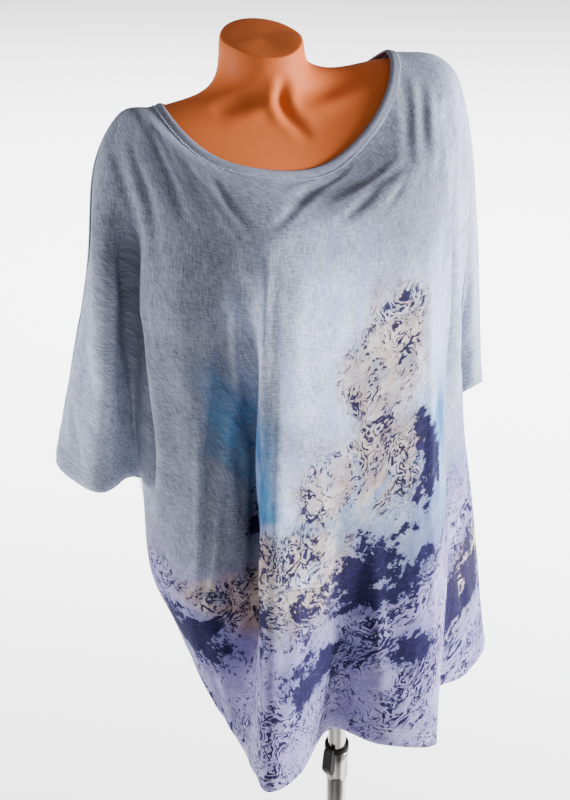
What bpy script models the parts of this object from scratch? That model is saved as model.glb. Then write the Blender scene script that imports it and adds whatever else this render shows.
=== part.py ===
"""A loose T-shirt with grown-on batwing sleeves, worn by a limbless dress form on a telescopic stand.

Metres, +Z up, the wearer's front towards -Y. The origin is on the floor, under the middle of the pole.
"""

import math

import bmesh
import bpy
import numpy as np
from mathutils import Vector

# Driving sizes of the cloth
CLOTH = 0.0014  # wall of the jersey
BINDING_WIDTH = 0.012
BINDING_WALL = 0.0020
BINDING_COLUMNS = 84
SEAM_GAP = 0.0007  # between pieces that are sewn together
BODY_GAP = 0.0028  # between the panels and the dress form
BINDING_GAP = 0.0014  # between the binding and the dress form

# Seam line between the neck binding and the panels, in plan, dropped onto the dress form
NECK_X = -0.067
NECK_Y = 0.030
NECK_HALF_WIDTH = 0.142
NECK_FRONT_DEPTH = 0.101
NECK_BACK_DEPTH = 0.077
NECK_CORNER = 2.3
NECK_TWIST = -0.020  # how far the middle of the front lies towards the wearer's right

# The dress form, from its neck cap down. Angles run round each ring from the front.
# "tilt" is the rise per metre towards the wearer's left.
FORM_COLUMNS = (
    "name", "z_side", "z_front", "z_back", "x", "y", "half_width", "front", "back", "corner", "tilt"
)
FORM_RINGS = (
    ("cap_inner", 1.380, 1.3715, 1.3885, -0.078, 0.045, 0.037, 0.038, 0.038, 2.0, 0.0),
    ("cap_edge", 1.3785, 1.369, 1.3875, -0.078, 0.045, 0.044, 0.046, 0.0455, 2.0, 0.0),
    ("cap_side", 1.3735, 1.3635, 1.3825, -0.078, 0.045, 0.0462, 0.048, 0.0475, 2.0, 0.0),
    ("neck", 1.355, 1.336, 1.350, -0.078, 0.044, 0.0468, 0.0495, 0.047, 2.0, 0.0),
    ("neck_root", 1.341, 1.313, 1.318, -0.077, 0.041, 0.054, 0.056, 0.050, 2.0, 0.03),
    ("collar", 1.330, 1.288, 1.297, -0.071, 0.035, 0.083, 0.073, 0.062, 2.1, 0.03),
    ("yoke", 1.336, 1.266, 1.280, -0.061, 0.030, 0.140, 0.092, 0.078, 2.2, 0.07),
    ("shoulder", 1.3225, 1.241, 1.254, -0.057, 0.027, 0.186, 0.104, 0.087, 2.2, 0.02),
    ("shoulder_tip", 1.295, 1.215, 1.228, -0.056, 0.025, 0.205, 0.108, 0.092, 2.1, 0.0),
    ("arm_end", 1.250, 1.180, 1.190, -0.056, 0.024, 0.208, 0.108, 0.094, 2.0, 0.0),
    ("armpit", 1.175, 1.140, 1.145, -0.055, 0.022, 0.186, 0.106, 0.092, 2.0, 0.0),
    ("bust", 1.100, 1.095, 1.090, -0.052, 0.018, 0.160, 0.102, 0.086, 2.1, 0.0),
    ("under_bust", 1.030, 1.030, 1.025, -0.046, 0.014, 0.143, 0.094, 0.078, 2.1, 0.0),
    ("waist", 0.950, 0.950, 0.945, -0.036, 0.010, 0.126, 0.086, 0.070, 2.1, 0.0),
    ("belly", 0.870, 0.870, 0.865, -0.026, 0.006, 0.142, 0.090, 0.086, 2.1, 0.0),
    ("hip", 0.800, 0.800, 0.795, -0.018, 0.003, 0.154, 0.092, 0.098, 2.2, 0.0),
    ("seat", 0.745, 0.745, 0.740, -0.012, 0.001, 0.152, 0.091, 0.098, 2.2, 0.0),
    ("rim", 0.708, 0.708, 0.706, -0.008, 0.000, 0.142, 0.084, 0.090, 2.2, 0.0),
    ("foot", 0.700, 0.700, 0.700, -0.008, 0.000, 0.132, 0.075, 0.081, 2.2, 0.0),
)
SHOULDER_RING = 7  # the ring over which the cloth turns down into the sleeves
SHOULDER_EASE = 0.006  # how far the cloth stands off it
FORM_SIDES = 36
FORM_FOOT_Z = 0.700
BUST_SPACING = 0.190
BUST_HEIGHT = 1.185
BUST_SPREAD = 0.056
BUST_RISE = 0.046

# The shirt's folds, in order round it. "columns" is the number of mesh columns up to the next fold and
# "angle" is where the fold's line leaves the neck. The rest are its places on the cloth, from the top down.
FOLD_COLUMNS = ("name", "columns", "angle", "chest", "bust", "underarm", "hip", "hem")
FRONT_FOLDS = (
    ("sleeve_edge_right", 2, -90,
     (-0.280, 0.030, 1.268), (-0.294, 0.030, 1.145), (-0.338, 0.026, 0.938),
     None, None),
    ("sleeve_corner_right", 2, -87,
     (-0.279, 0.008, 1.263), (-0.296, 0.004, 1.145), (-0.332, -0.006, 0.926),
     None, None),
    ("sleeve_face_right", 3, -82,
     (-0.274, -0.010, 1.258), (-0.294, -0.026, 1.145), (-0.309, -0.030, 0.917),
     None, None),
    ("sleeve_valley_right", 2, -78,
     (-0.266, -0.024, 1.253), (-0.276, -0.018, 1.145), (-0.265, 0.006, 0.908),
     None, None),
    ("armpit_right", 4, -74,
     (-0.258, -0.034, 1.248), (-0.262, -0.014, 1.145), (-0.246, 0.008, 0.902),
     (-0.216, 0.052, 0.800), (-0.196, 0.084, 0.716)),
    ("side_lobe_outer", 4, -65,
     (-0.240, -0.056, 1.240), (-0.263, -0.050, 1.140), (-0.260, -0.050, 0.925),
     (-0.244, -0.015, 0.790), (-0.213, 0.015, 0.724)),
    ("side_lobe_inner", 4, -55,
     (-0.218, -0.078, 1.232), (-0.242, -0.096, 1.138), (-0.221, -0.108, 0.930),
     (-0.220, -0.088, 0.770), (-0.202, -0.060, 0.658)),
    ("side_valley_right", 3, -45,
     (-0.190, -0.100, 1.226), (-0.190, -0.118, 1.135), (-0.153, -0.100, 0.930),
     (-0.153, -0.100, 0.760), (-0.165, -0.108, 0.592)),
    ("crest_right_edge", 3, -38,
     (-0.174, -0.112, 1.223), (-0.172, -0.142, 1.132), (-0.171, -0.146, 0.930),
     (-0.177, -0.154, 0.760), (-0.185, -0.160, 0.588)),
    ("crest_right", 4, -31,
     (-0.152, -0.120, 1.222), (-0.161, -0.158, 1.130), (-0.173, -0.176, 0.930),
     (-0.181, -0.186, 0.760), (-0.184, -0.192, 0.585)),
    ("crest_right_inner", 4, -19,
     (-0.112, -0.122, 1.222), (-0.131, -0.162, 1.130), (-0.133, -0.172, 0.930),
     (-0.139, -0.180, 0.760), (-0.141, -0.178, 0.588)),
    ("front_valley", 4, -4,
     (-0.058, -0.116, 1.225), (-0.078, -0.156, 1.130), (-0.077, -0.160, 0.930),
     (-0.074, -0.152, 0.760), (-0.063, -0.118, 0.589)),
    ("crest_left_inner", 4, 13,
     (-0.002, -0.110, 1.232), (-0.024, -0.150, 1.132), (-0.027, -0.160, 0.930),
     (-0.034, -0.170, 0.760), (-0.040, -0.178, 0.592)),
    ("crest_left", 3, 30,
     (0.053, -0.094, 1.240), (0.035, -0.135, 1.138), (0.030, -0.158, 0.930),
     (0.028, -0.172, 0.760), (0.023, -0.186, 0.580)),
    ("flank_left", 3, 42,
     (0.092, -0.064, 1.250), (0.073, -0.096, 1.142), (0.078, -0.104, 0.930),
     (0.081, -0.114, 0.760), (0.058, -0.148, 0.562)),
    ("side_valley_left", 4, 52,
     (0.110, -0.042, 1.256), (0.104, -0.054, 1.143), (0.091, -0.066, 0.930),
     (0.091, -0.076, 0.760), (0.078, -0.084, 0.592)),
    ("side_lobe_left", 4, 63,
     (0.125, -0.025, 1.262), (0.128, -0.030, 1.144), (0.153, -0.015, 0.915),
     (0.167, -0.018, 0.760), (0.147, -0.060, 0.579)),
    ("armpit_left", 4, 74,
     (0.138, -0.010, 1.268), (0.147, -0.010, 1.145), (0.162, 0.022, 0.908),
     (0.188, 0.030, 0.760), (0.208, 0.012, 0.577)),
    ("sleeve_face_left", 3, 83,
     (0.154, 0.005, 1.275), (0.163, -0.008, 1.145), (0.184, 0.010, 0.926),
     None, None),
    ("sleeve_edge_left", 0, 90,
     (0.170, 0.032, 1.268), (0.189, 0.035, 1.145), (0.209, 0.040, 0.915),
     None, None),
)
BACK_FOLDS = (
    ("sleeve_edge_left", 3, 90,
     (0.170, 0.032, 1.268), (0.189, 0.035, 1.145), (0.209, 0.040, 0.915),
     None, None),
    ("sleeve_back_left", 4, 98,
     (0.186, 0.078, 1.262), (0.188, 0.086, 1.140), (0.204, 0.094, 0.906),
     None, None),
    ("armpit_left", 4, 107,
     (0.168, 0.100, 1.250), (0.160, 0.096, 1.130), (0.162, 0.022, 0.908),
     (0.188, 0.030, 0.760), (0.208, 0.012, 0.577)),
    ("back_lobe_left", 4, 122,
     (0.120, 0.122, 1.230), (0.124, 0.130, 1.120), (0.138, 0.126, 0.905),
     (0.150, 0.130, 0.760), (0.156, 0.128, 0.610)),
    ("back_valley_left", 4, 139,
     (0.070, 0.130, 1.222), (0.072, 0.136, 1.115), (0.078, 0.116, 0.905),
     (0.084, 0.112, 0.760), (0.090, 0.106, 0.600)),
    ("back_lobe_middle", 5, 164,
     (0.002, 0.132, 1.215), (0.004, 0.142, 1.110), (0.010, 0.152, 0.905),
     (0.014, 0.164, 0.760), (0.018, 0.176, 0.596)),
    ("back_valley_middle", 5, 192,
     (-0.070, 0.132, 1.210), (-0.070, 0.142, 1.108), (-0.066, 0.132, 0.905),
     (-0.062, 0.128, 0.760), (-0.056, 0.126, 0.602)),
    ("back_lobe_right", 4, 218,
     (-0.140, 0.124, 1.212), (-0.142, 0.136, 1.112), (-0.146, 0.152, 0.908),
     (-0.138, 0.162, 0.760), (-0.122, 0.168, 0.628)),
    ("back_valley_right", 4, 237,
     (-0.190, 0.112, 1.218), (-0.196, 0.120, 1.118), (-0.194, 0.104, 0.912),
     (-0.184, 0.112, 0.780), (-0.166, 0.124, 0.668)),
    ("armpit_right", 4, 252,
     (-0.228, 0.096, 1.228), (-0.226, 0.090, 1.128), (-0.246, 0.008, 0.902),
     (-0.216, 0.052, 0.800), (-0.196, 0.084, 0.716)),
    ("sleeve_back_right", 3, 262,
     (-0.258, 0.074, 1.250), (-0.266, 0.080, 1.138), (-0.298, 0.086, 0.936),
     None, None),
    ("sleeve_edge_right", 0, 270,
     (-0.280, 0.030, 1.268), (-0.294, 0.030, 1.145), (-0.338, 0.026, 0.938),
     None, None),
)
LEVEL_ROWS = {"shoulder": 5, "chest": 5, "bust": 4, "underarm": 6, "hip": 5, "hem": 5}  # mesh rows down to each level

# The stand, whose upper rod slides in the tube
ROD_RADIUS = 0.0110
ROD_FOOT_Z = 0.130
SOCKET_DEPTH = 0.060  # of the rod's seat in the dress form
FIT_GAP = 0.0003  # between the pieces of the stand
TUBE_RADIUS = 0.0125
TUBE_TOP_Z = 0.4675
SLEEVE_RADIUS = 0.0148
SLEEVE_FOOT_Z = 0.428
COLLAR_RADIUS = 0.0152
COLLAR_HEIGHT = 0.015  # at its high side
COLLAR_SLOPE = 0.010  # how much lower its other side is
COLLAR_TURN = -26  # the low side's degrees round the pole from the wearer's front
LEVER_WIDTH = 0.013
LEVER_SIDE = (  # out from the collar and down from the lever's top
    (0.0, 0.0), (0.0040, 0.0), (0.0062, 0.0045), (0.0096, 0.0240), (0.0090, 0.0280), (0.0042, 0.0360),
    (0.0, 0.0360),
)
LEVER_TURN = -60  # degrees round the pole from the wearer's front
LEVER_RISE = 0.0085  # its top above the sleeve's
BASE_RADIUS = 0.165
BASE_THICKNESS = 0.009
HUB_RADIUS = 0.024
HUB_HEIGHT = 0.034
ROUND_SIDES = 32

# Colour, roughness and metallic value
JERSEY_LOOK = ((0.42, 0.46, 0.56), 0.85, 0.0)
FORM_LOOK = ((0.62, 0.24, 0.10), 0.35, 0.0)
CHROME_LOOK = ((0.72, 0.72, 0.74), 0.18, 1.0)
BLACK_LOOK = ((0.02, 0.02, 0.022), 0.45, 0.0)
STEEL_LOOK = ((0.03, 0.03, 0.033), 0.4, 0.0)


def clear_scene():
    for item in list(bpy.data.objects):
        bpy.data.objects.remove(item)


def collection(name):
    made = bpy.data.collections.new(name)
    bpy.context.scene.collection.children.link(made)
    return made


def holder(name):
    """An empty on the pole's line, which carries the pieces of one body."""
    empty = bpy.data.objects.new(name, None)
    bpy.data.collections["shirt_on_stand"].objects.link(empty)
    return empty


def add_piece(item, look, body):
    """Puts a piece on its body, with a material of its own."""
    colour, roughness, metallic = look
    made = bpy.data.materials.new(item.name)
    made.use_nodes = True
    shader = made.node_tree.nodes["Principled BSDF"]
    shader.inputs["Base Color"].default_value = (*colour, 1.0)
    shader.inputs["Roughness"].default_value = roughness
    shader.inputs["Metallic"].default_value = metallic
    item.data.materials.append(made)
    item.parent = bpy.data.objects[body]
    bpy.data.collections["shirt_on_stand"].objects.link(item)
    return item


def mesh_object(name, points, faces):
    mesh = bpy.data.meshes.new(name)
    mesh.from_pydata([tuple(map(float, p)) for p in points], [], faces)
    mesh.shade_smooth()
    return bpy.data.objects.new(name, mesh)


def form_point(ring, angle):
    """A point of the dress form: a superellipse in plan whose height runs from the front to the side."""
    row = dict(zip(FORM_COLUMNS, ring))
    a = math.radians(angle)
    s, c = math.sin(a), math.cos(a)
    power = 2.0 / row["corner"]
    depth = row["front"] if c >= 0 else row["back"]
    x = row["half_width"] * math.copysign(abs(s) ** power, s)
    y = -depth * math.copysign(abs(c) ** power, c)
    z_middle, steepness = (row["z_front"], 2.0) if c >= 0 else (row["z_back"], 1.25)
    z = row["z_side"] + (z_middle - row["z_side"]) * abs(c) ** steepness
    if c > 0:
        for side in (-1, 1):
            across = (x - side * BUST_SPACING / 2) / BUST_SPREAD
            up = (z - BUST_HEIGHT) / (BUST_SPREAD * 1.15)
            y -= BUST_RISE * math.exp(-across * across - up * up)
    x += row["x"]
    y += row["y"]
    return Vector((x, y, z + row["tilt"] * (x - row["x"])))


def make_form():
    """The dress form, lofted through its rings."""
    angles = [360.0 * i / FORM_SIDES for i in range(FORM_SIDES)]
    points = [form_point(ring, a) for ring in FORM_RINGS for a in angles]
    n, last = FORM_SIDES, FORM_SIDES * (len(FORM_RINGS) - 1)
    faces = [
        (r + i, r + n + i, r + n + (i + 1) % n, r + (i + 1) % n) for r in range(0, last, n) for i in range(n)
    ]
    faces.append(tuple(range(n)))
    faces.append(tuple(reversed(range(last, last + n))))
    return add_piece(mesh_object("dress_form", points, faces), FORM_LOOK, "sliding_form")


def drop_on(form):
    """A function that gives the point of the dress form under a place in plan."""

    def drop(x, y):
        hit, place, normal, _ = form.ray_cast(Vector((x, y, 2.0)), Vector((0, 0, -1)))
        return place if hit else Vector((x, y, 1.2))

    return drop


def neckline_point(angle, inset, drop):
    """A point of the neck seam, or of a line that runs inside it."""
    a = math.radians(angle)
    s, c = math.sin(a), math.cos(a)
    power = 2.0 / NECK_CORNER
    depth = NECK_FRONT_DEPTH if c >= 0 else NECK_BACK_DEPTH
    across = math.copysign(abs(s) ** power, s)
    along = math.copysign(abs(c) ** power, c)
    x = NECK_X + (NECK_HALF_WIDTH - inset) * across + NECK_TWIST * along
    y = NECK_Y - (depth - inset * 0.8) * along
    return drop(x, y)


def curve_through(points, spans, before=None, after=None):
    """Catmull-Rom through the points, cut into equal lengths between each pair.

    before and after are the neighbouring piece's points, which give the ends their direction.
    """
    pts = [np.array(p, float) for p in points]
    first = 2 * pts[0] - pts[1] if before is None else np.array(before, float)
    last = 2 * pts[-1] - pts[-2] if after is None else np.array(after, float)
    ends = [first] + pts + [last]
    out = []
    for i, count in enumerate(spans):
        p0, p1, p2, p3 = ends[i : i + 4]
        t = np.linspace(0, 1, 33)[:, None]
        fine = 0.5 * (
            2 * p1 + (p2 - p0) * t
            + (2 * p0 - 5 * p1 + 4 * p2 - p3) * t**2
            + (3 * p1 - p0 - 3 * p2 + p3) * t**3
        )
        length = np.concatenate([[0], np.cumsum(np.linalg.norm(np.diff(fine, axis=0), axis=1))])
        at = np.linspace(0, length[-1], count + 1)[:-1]
        out += [[np.interp(s, length, fine[:, k]) for k in range(fine.shape[1])] for s in at]
    return out + [list(pts[-1])]


def level_curve(table, other, level, spans):
    """Points round one level of a panel, which run on smoothly into the other panel's."""
    at = [i for i, row in enumerate(table) if row[level] is not None]
    beyond = [row[level] for row in other if row[level] is not None]
    counts = spans[at[0] : at[-1]]
    return curve_through([table[i][level] for i in at], counts, beyond[-2], beyond[1])


def shoulder_point(angle):
    """Where the cloth turns over the dress form's shoulder."""
    on_form = form_point(FORM_RINGS[SHOULDER_RING], angle)
    a = math.radians(angle)
    return on_form + Vector((math.sin(a), -math.cos(a), 1.0)).normalized() * SHOULDER_EASE


def panel_grid(folds, other_folds, side, drop):
    """Columns of points of one panel, from the neck seam down. side is -1 for the front and 1 for the back.

    The sleeves' columns end at the underarm and the body's go on to the hem.
    """
    table = [dict(zip(FOLD_COLUMNS, row)) for row in folds]
    other = [dict(zip(FOLD_COLUMNS, row)) for row in other_folds]
    spans = [row["columns"] for row in table[:-1]]
    angles = [p[0] for p in curve_through([(row["angle"],) for row in table], spans)]
    body = [i for i, row in enumerate(table) if row["hem"] is not None]
    first, last = sum(spans[: body[0]]), sum(spans[: body[-1]])
    levels = {name: level_curve(table, other, name, spans) for name in FOLD_COLUMNS[3:]}
    levels["shoulder"] = [shoulder_point(angle) for angle in angles]
    columns = []
    for k, angle in enumerate(angles):
        path, counts = [neckline_point(angle, 0, drop)], []
        for name, rows in LEVEL_ROWS.items():
            if name not in ("hip", "hem"):
                path.append(Vector(levels[name][k]))
            elif first <= k <= last:
                path.append(Vector(levels[name][k - first]))
            else:
                continue
            counts.append(rows)
        seam = range(len(path)) if k in (0, len(angles) - 1) else range(4, len(path)) if k in (first, last) else ()
        for i in seam:
            path[i] = path[i] + Vector((0, side * SEAM_GAP / 2, 0))
        if k in (first, last):  # below the underarm both panels follow one seam line
            column = curve_through(path[:5], counts[:4])[:-1] + curve_through(path[4:], counts[4:])
        else:
            column = curve_through(path, counts)
        column = [Vector(p) for p in column]
        column[0] += (column[1] - column[0]).normalized() * SEAM_GAP
        columns.append(column)
    return columns


def cloth_panel(name, folds, other_folds, side, form, drop):
    columns = panel_grid(folds, other_folds, side, drop)
    numbers, points, faces = {}, [], []
    for k, column in enumerate(columns):
        for r, place in enumerate(column):
            numbers[k, r] = len(points)
            points.append(place)
    for k in range(len(columns) - 1):
        for r in range(min(len(columns[k]), len(columns[k + 1])) - 1):
            faces.append((numbers[k, r], numbers[k, r + 1], numbers[k + 1, r + 1], numbers[k + 1, r]))
    panel = add_piece(mesh_object(name, points, faces), JERSEY_LOOK, "sliding_form")
    clear_of_form(panel, form, BODY_GAP)
    add_wall(panel, CLOTH)
    return panel


def clear_of_form(cloth, form, gap):
    wrap = cloth.modifiers.new("clear_of_form", "SHRINKWRAP")
    wrap.target = form
    wrap.wrap_method = "NEAREST_SURFACEPOINT"
    wrap.wrap_mode = "OUTSIDE"
    wrap.offset = gap


def add_wall(cloth, thickness):
    """Thickens an open sheet outwards."""
    wall = cloth.modifiers.new("wall", "SOLIDIFY")
    wall.thickness = thickness
    wall.offset = 1.0


def neck_binding(form, drop):
    """The folded band that closes the neckline, laid on the dress form from the seam inwards."""
    points, faces = [], []
    for i in range(BINDING_COLUMNS):
        angle = 360.0 * i / BINDING_COLUMNS
        points += [neckline_point(angle, BINDING_WIDTH * r / 3, drop) for r in range(4)]
    for i in range(BINDING_COLUMNS):
        j = (i + 1) % BINDING_COLUMNS
        faces += [(4 * i + r, 4 * j + r, 4 * j + r + 1, 4 * i + r + 1) for r in range(3)]
    band = add_piece(mesh_object("neck_binding", points, faces), JERSEY_LOOK, "sliding_form")
    clear_of_form(band, form, BINDING_GAP)
    add_wall(band, BINDING_WALL)
    return band


def turned(name, profile, height=0.0):
    """A solid turned about the pole's line. profile is (radius, height) pairs, down its outer side.

    A profile that starts and ends on the line stays open there, and any other one is closed.
    """
    count = len(profile)
    edges = [(i, i + 1) for i in range(count - 1)]
    if profile[0][0] > 0:
        edges.append((count - 1, 0))
    mesh = bpy.data.meshes.new(name)
    mesh.from_pydata([(radius, 0, z) for radius, z in profile], edges, [])
    item = bpy.data.objects.new(name, mesh)
    item.location.z = height
    turn = item.modifiers.new("turned", "SCREW")
    turn.axis = "Z"
    turn.angle = math.tau
    turn.steps = turn.render_steps = ROUND_SIDES
    turn.use_merge_vertices = True
    turn.merge_threshold = 0.00001
    return item


def tube_profile(inner, outer, length, edge):
    """Section of a tube with broken outer edges, from its top down to height 0."""
    return [
        (inner, length), (outer - edge, length), (outer, length - edge), (outer, edge), (outer - edge, 0),
        (inner, 0),
    ]


def sloping_ring(name, profile, height):
    """A turned ring whose upper edges slope down to its low side."""
    count = len(profile)
    points = []
    for i in range(ROUND_SIDES):
        around = math.tau * i / ROUND_SIDES
        fall = COLLAR_SLOPE * (1 + math.cos(around)) / 2
        turn = around + math.radians(COLLAR_TURN)
        for radius, z in profile:
            level = z - fall if z > COLLAR_HEIGHT / 2 else z
            points.append((radius * math.sin(turn), -radius * math.cos(turn), level))
    total = len(points)
    faces = [
        (i + j, i + (j + 1) % count, (i + count) % total + (j + 1) % count, (i + count) % total + j)
        for i in range(0, total, count) for j in range(count)
    ]
    mesh = bpy.data.meshes.new(name)
    mesh.from_pydata(points, [], faces)
    item = bpy.data.objects.new(name, mesh)
    item.location.z = height
    return item


def rod_profile(radius, length, edge):
    return [(0, length), (radius - edge, length), (radius, length - edge), (radius, edge), (radius - edge, 0), (0, 0)]


def rod_socket(form):
    """The blind hole in the dress form's underside that takes the rod."""
    below = 0.050
    cutter = turned("rod_socket_cutter", rod_profile(ROD_RADIUS + FIT_GAP, below + SOCKET_DEPTH, 0),
                    FORM_FOOT_Z - below)
    collection("cutters").objects.link(cutter)
    cutter.hide_render = True
    cutter.display_type = "WIRE"
    cut = form.modifiers.new("rod_socket", "BOOLEAN")
    cut.object = cutter
    cut.operation = "DIFFERENCE"
    cut.solver = "EXACT"


def make_stand():
    inner = ROD_RADIUS + FIT_GAP
    grip = TUBE_RADIUS + FIT_GAP
    add_piece(turned("base_plate", [
        (0, BASE_THICKNESS), (grip, BASE_THICKNESS), (grip, HUB_HEIGHT), (HUB_RADIUS - 0.003, HUB_HEIGHT),
        (HUB_RADIUS, HUB_HEIGHT - 0.003), (HUB_RADIUS, BASE_THICKNESS + 0.002),
        (HUB_RADIUS + 0.002, BASE_THICKNESS), (BASE_RADIUS - 0.003, BASE_THICKNESS),
        (BASE_RADIUS, BASE_THICKNESS - 0.003), (BASE_RADIUS, 0.002), (BASE_RADIUS - 0.002, 0), (0, 0),
    ]), STEEL_LOOK, "stand")
    tube_foot = BASE_THICKNESS + FIT_GAP
    add_piece(turned("lower_tube", tube_profile(inner, TUBE_RADIUS, TUBE_TOP_Z - tube_foot, 0.0008), tube_foot),
              CHROME_LOOK, "stand")
    sleeve_height = TUBE_TOP_Z - SLEEVE_FOOT_Z
    add_piece(turned("clamp_sleeve", [
        (grip, sleeve_height), (SLEEVE_RADIUS, sleeve_height), (SLEEVE_RADIUS, 0.007), (grip + 0.0006, 0),
        (grip, 0),
    ], SLEEVE_FOOT_Z), CHROME_LOOK, "stand")
    collar = tube_profile(inner, COLLAR_RADIUS, COLLAR_HEIGHT, 0.0012)
    add_piece(sloping_ring("clamp_collar", collar, TUBE_TOP_Z + FIT_GAP), BLACK_LOOK, "stand")
    rod_length = FORM_FOOT_Z + SOCKET_DEPTH - FIT_GAP - ROD_FOOT_Z
    add_piece(turned("upper_rod", rod_profile(ROD_RADIUS, rod_length, 0.001), ROD_FOOT_Z), CHROME_LOOK,
              "sliding_form")


def clamp_lever():
    """The closed lever, beside the clamp's collar and sleeve."""
    count = len(LEVER_SIDE)
    points = [(side * LEVER_WIDTH / 2, -out, -down) for side in (-1, 1) for out, down in LEVER_SIDE]
    faces = [tuple(reversed(range(count))), tuple(range(count, 2 * count))]
    faces += [(i, (i + 1) % count, count + (i + 1) % count, count + i) for i in range(count)]
    mesh = bpy.data.meshes.new("clamp_lever")
    mesh.from_pydata(points, [], faces)
    item = add_piece(bpy.data.objects.new("clamp_lever", mesh), BLACK_LOOK, "stand")
    turn = math.radians(LEVER_TURN)
    reach = COLLAR_RADIUS + FIT_GAP
    item.location = (reach * math.sin(turn), -reach * math.cos(turn), TUBE_TOP_Z + LEVER_RISE)
    item.rotation_euler.z = turn
    rounded = item.modifiers.new("rounded", "BEVEL")
    rounded.width = 0.0014
    rounded.segments = 2


def main():
    clear_scene()
    collection("shirt_on_stand")
    holder("stand")
    holder("sliding_form")
    form = make_form()
    bpy.context.view_layer.update()
    drop = drop_on(form)
    cloth_panel("front_panel", FRONT_FOLDS, BACK_FOLDS, -1, form, drop)
    cloth_panel("back_panel", BACK_FOLDS, FRONT_FOLDS, 1, form, drop)
    neck_binding(form, drop)
    rod_socket(form)
    make_stand()
    clamp_lever()


if __name__ == "__main__":
    main()
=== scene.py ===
"""A batwing T-shirt on a dress form: the cloth, its sewing, the form, the pole and the studio."""

import math

import bpy
import numpy as np
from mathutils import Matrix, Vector, noise
from mathutils.bvhtree import BVHTree


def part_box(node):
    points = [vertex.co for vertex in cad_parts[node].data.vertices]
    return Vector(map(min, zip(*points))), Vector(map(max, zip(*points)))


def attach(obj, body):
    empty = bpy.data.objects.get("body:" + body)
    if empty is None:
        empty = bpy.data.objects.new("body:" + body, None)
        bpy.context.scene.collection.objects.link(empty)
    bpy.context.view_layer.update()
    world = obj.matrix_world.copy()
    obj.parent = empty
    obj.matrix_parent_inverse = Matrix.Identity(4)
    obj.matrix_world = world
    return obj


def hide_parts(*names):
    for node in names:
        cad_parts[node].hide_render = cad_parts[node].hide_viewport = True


bl_info = {
    "name": "T-shirt on a dress form",
    "version": (1, 0, 0),
    "blender": (4, 5, 0),
    "location": "View3D > Sidebar > T-shirt",
    "description": "Dresses the packed model of a batwing T-shirt on its dress form",
    "category": "Object",
}

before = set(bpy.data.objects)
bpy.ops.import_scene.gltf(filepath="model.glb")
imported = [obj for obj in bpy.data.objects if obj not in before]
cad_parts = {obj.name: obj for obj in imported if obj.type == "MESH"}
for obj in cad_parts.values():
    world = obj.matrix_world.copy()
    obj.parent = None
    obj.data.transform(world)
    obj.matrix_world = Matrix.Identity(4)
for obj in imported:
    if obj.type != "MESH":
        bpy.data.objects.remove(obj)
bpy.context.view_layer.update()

# The lowest and highest corners of the stand's pieces, read from the frame
ROD_LOW, ROD_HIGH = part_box("upper_rod")
TUBE_LOW, TUBE_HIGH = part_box("lower_tube")
SLEEVE_LOW, SLEEVE_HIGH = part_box("clamp_sleeve")
COLLAR_LOW, COLLAR_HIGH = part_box("clamp_collar")
BASE_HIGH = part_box("base_plate")[1]

# What the frame doesn't give of the stand
BASE_THICKNESS = 0.009
HUB_RADIUS = 0.024
COLLAR_SLOPE = 0.010  # how much lower the clamp collar's low side is
COLLAR_TURN = -26  # the low side's degrees round the pole from the wearer's front
POLE_FIT = 0.0003  # between the rod, the tube and what slides on them
POLE_EDGE = 0.0006  # the bevel of their edges
POLE_SIDES = 96

# Driving sizes of the cloth, in metres
SEAM_GAP = 0.0002  # between pieces that are sewn together
CLOTH_ABOVE_FORM = 0.0028  # outer face of the panels
WALL_OF_SOLID = 0.0014  # the solids' wall, whose inner face the fold tables give
FINENESS = 5  # mesh columns and rows of the shirt for each one of the solid

# Small uneven waves of the hanging cloth: length across, length down and height
LONG_RIPPLE = (0.021, 0.16, 0.0011)
SHORT_RIPPLE = (0.0095, 0.050, 0.00035)
LOOSE_FROM = 1.24  # the height below which the cloth comes loose from the form
LOOSE_SPAN = 0.12  # how much lower it hangs free
LEAST_RIPPLE = 0.15  # the waves' share where it lies on the form
NEAR_FORM = 0.03  # how close the cloth is where it has to be kept off the form
ROUNDS_BEFORE_CREASES = 6  # of smoothing
ROUNDS_AFTER_CREASES = 2

# Seam line between the neck binding and the panels, in plan, dropped onto the dress form
NECK_X = -0.067
NECK_Y = 0.030
NECK_HALF_WIDTH = 0.142
NECK_FRONT_DEPTH = 0.101
NECK_BACK_DEPTH = 0.077
NECK_CORNER = 2.3
NECK_TWIST = -0.020  # how far the middle of the front lies towards the wearer's right
NECK_DEPTH_INSET = 0.8  # how much of an inset goes to the front and the back
ABOVE_FORM = 2.0  # the height from which it is dropped
CURVE_SAMPLES = 33  # by which the length of a stretch of curve is measured

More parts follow.
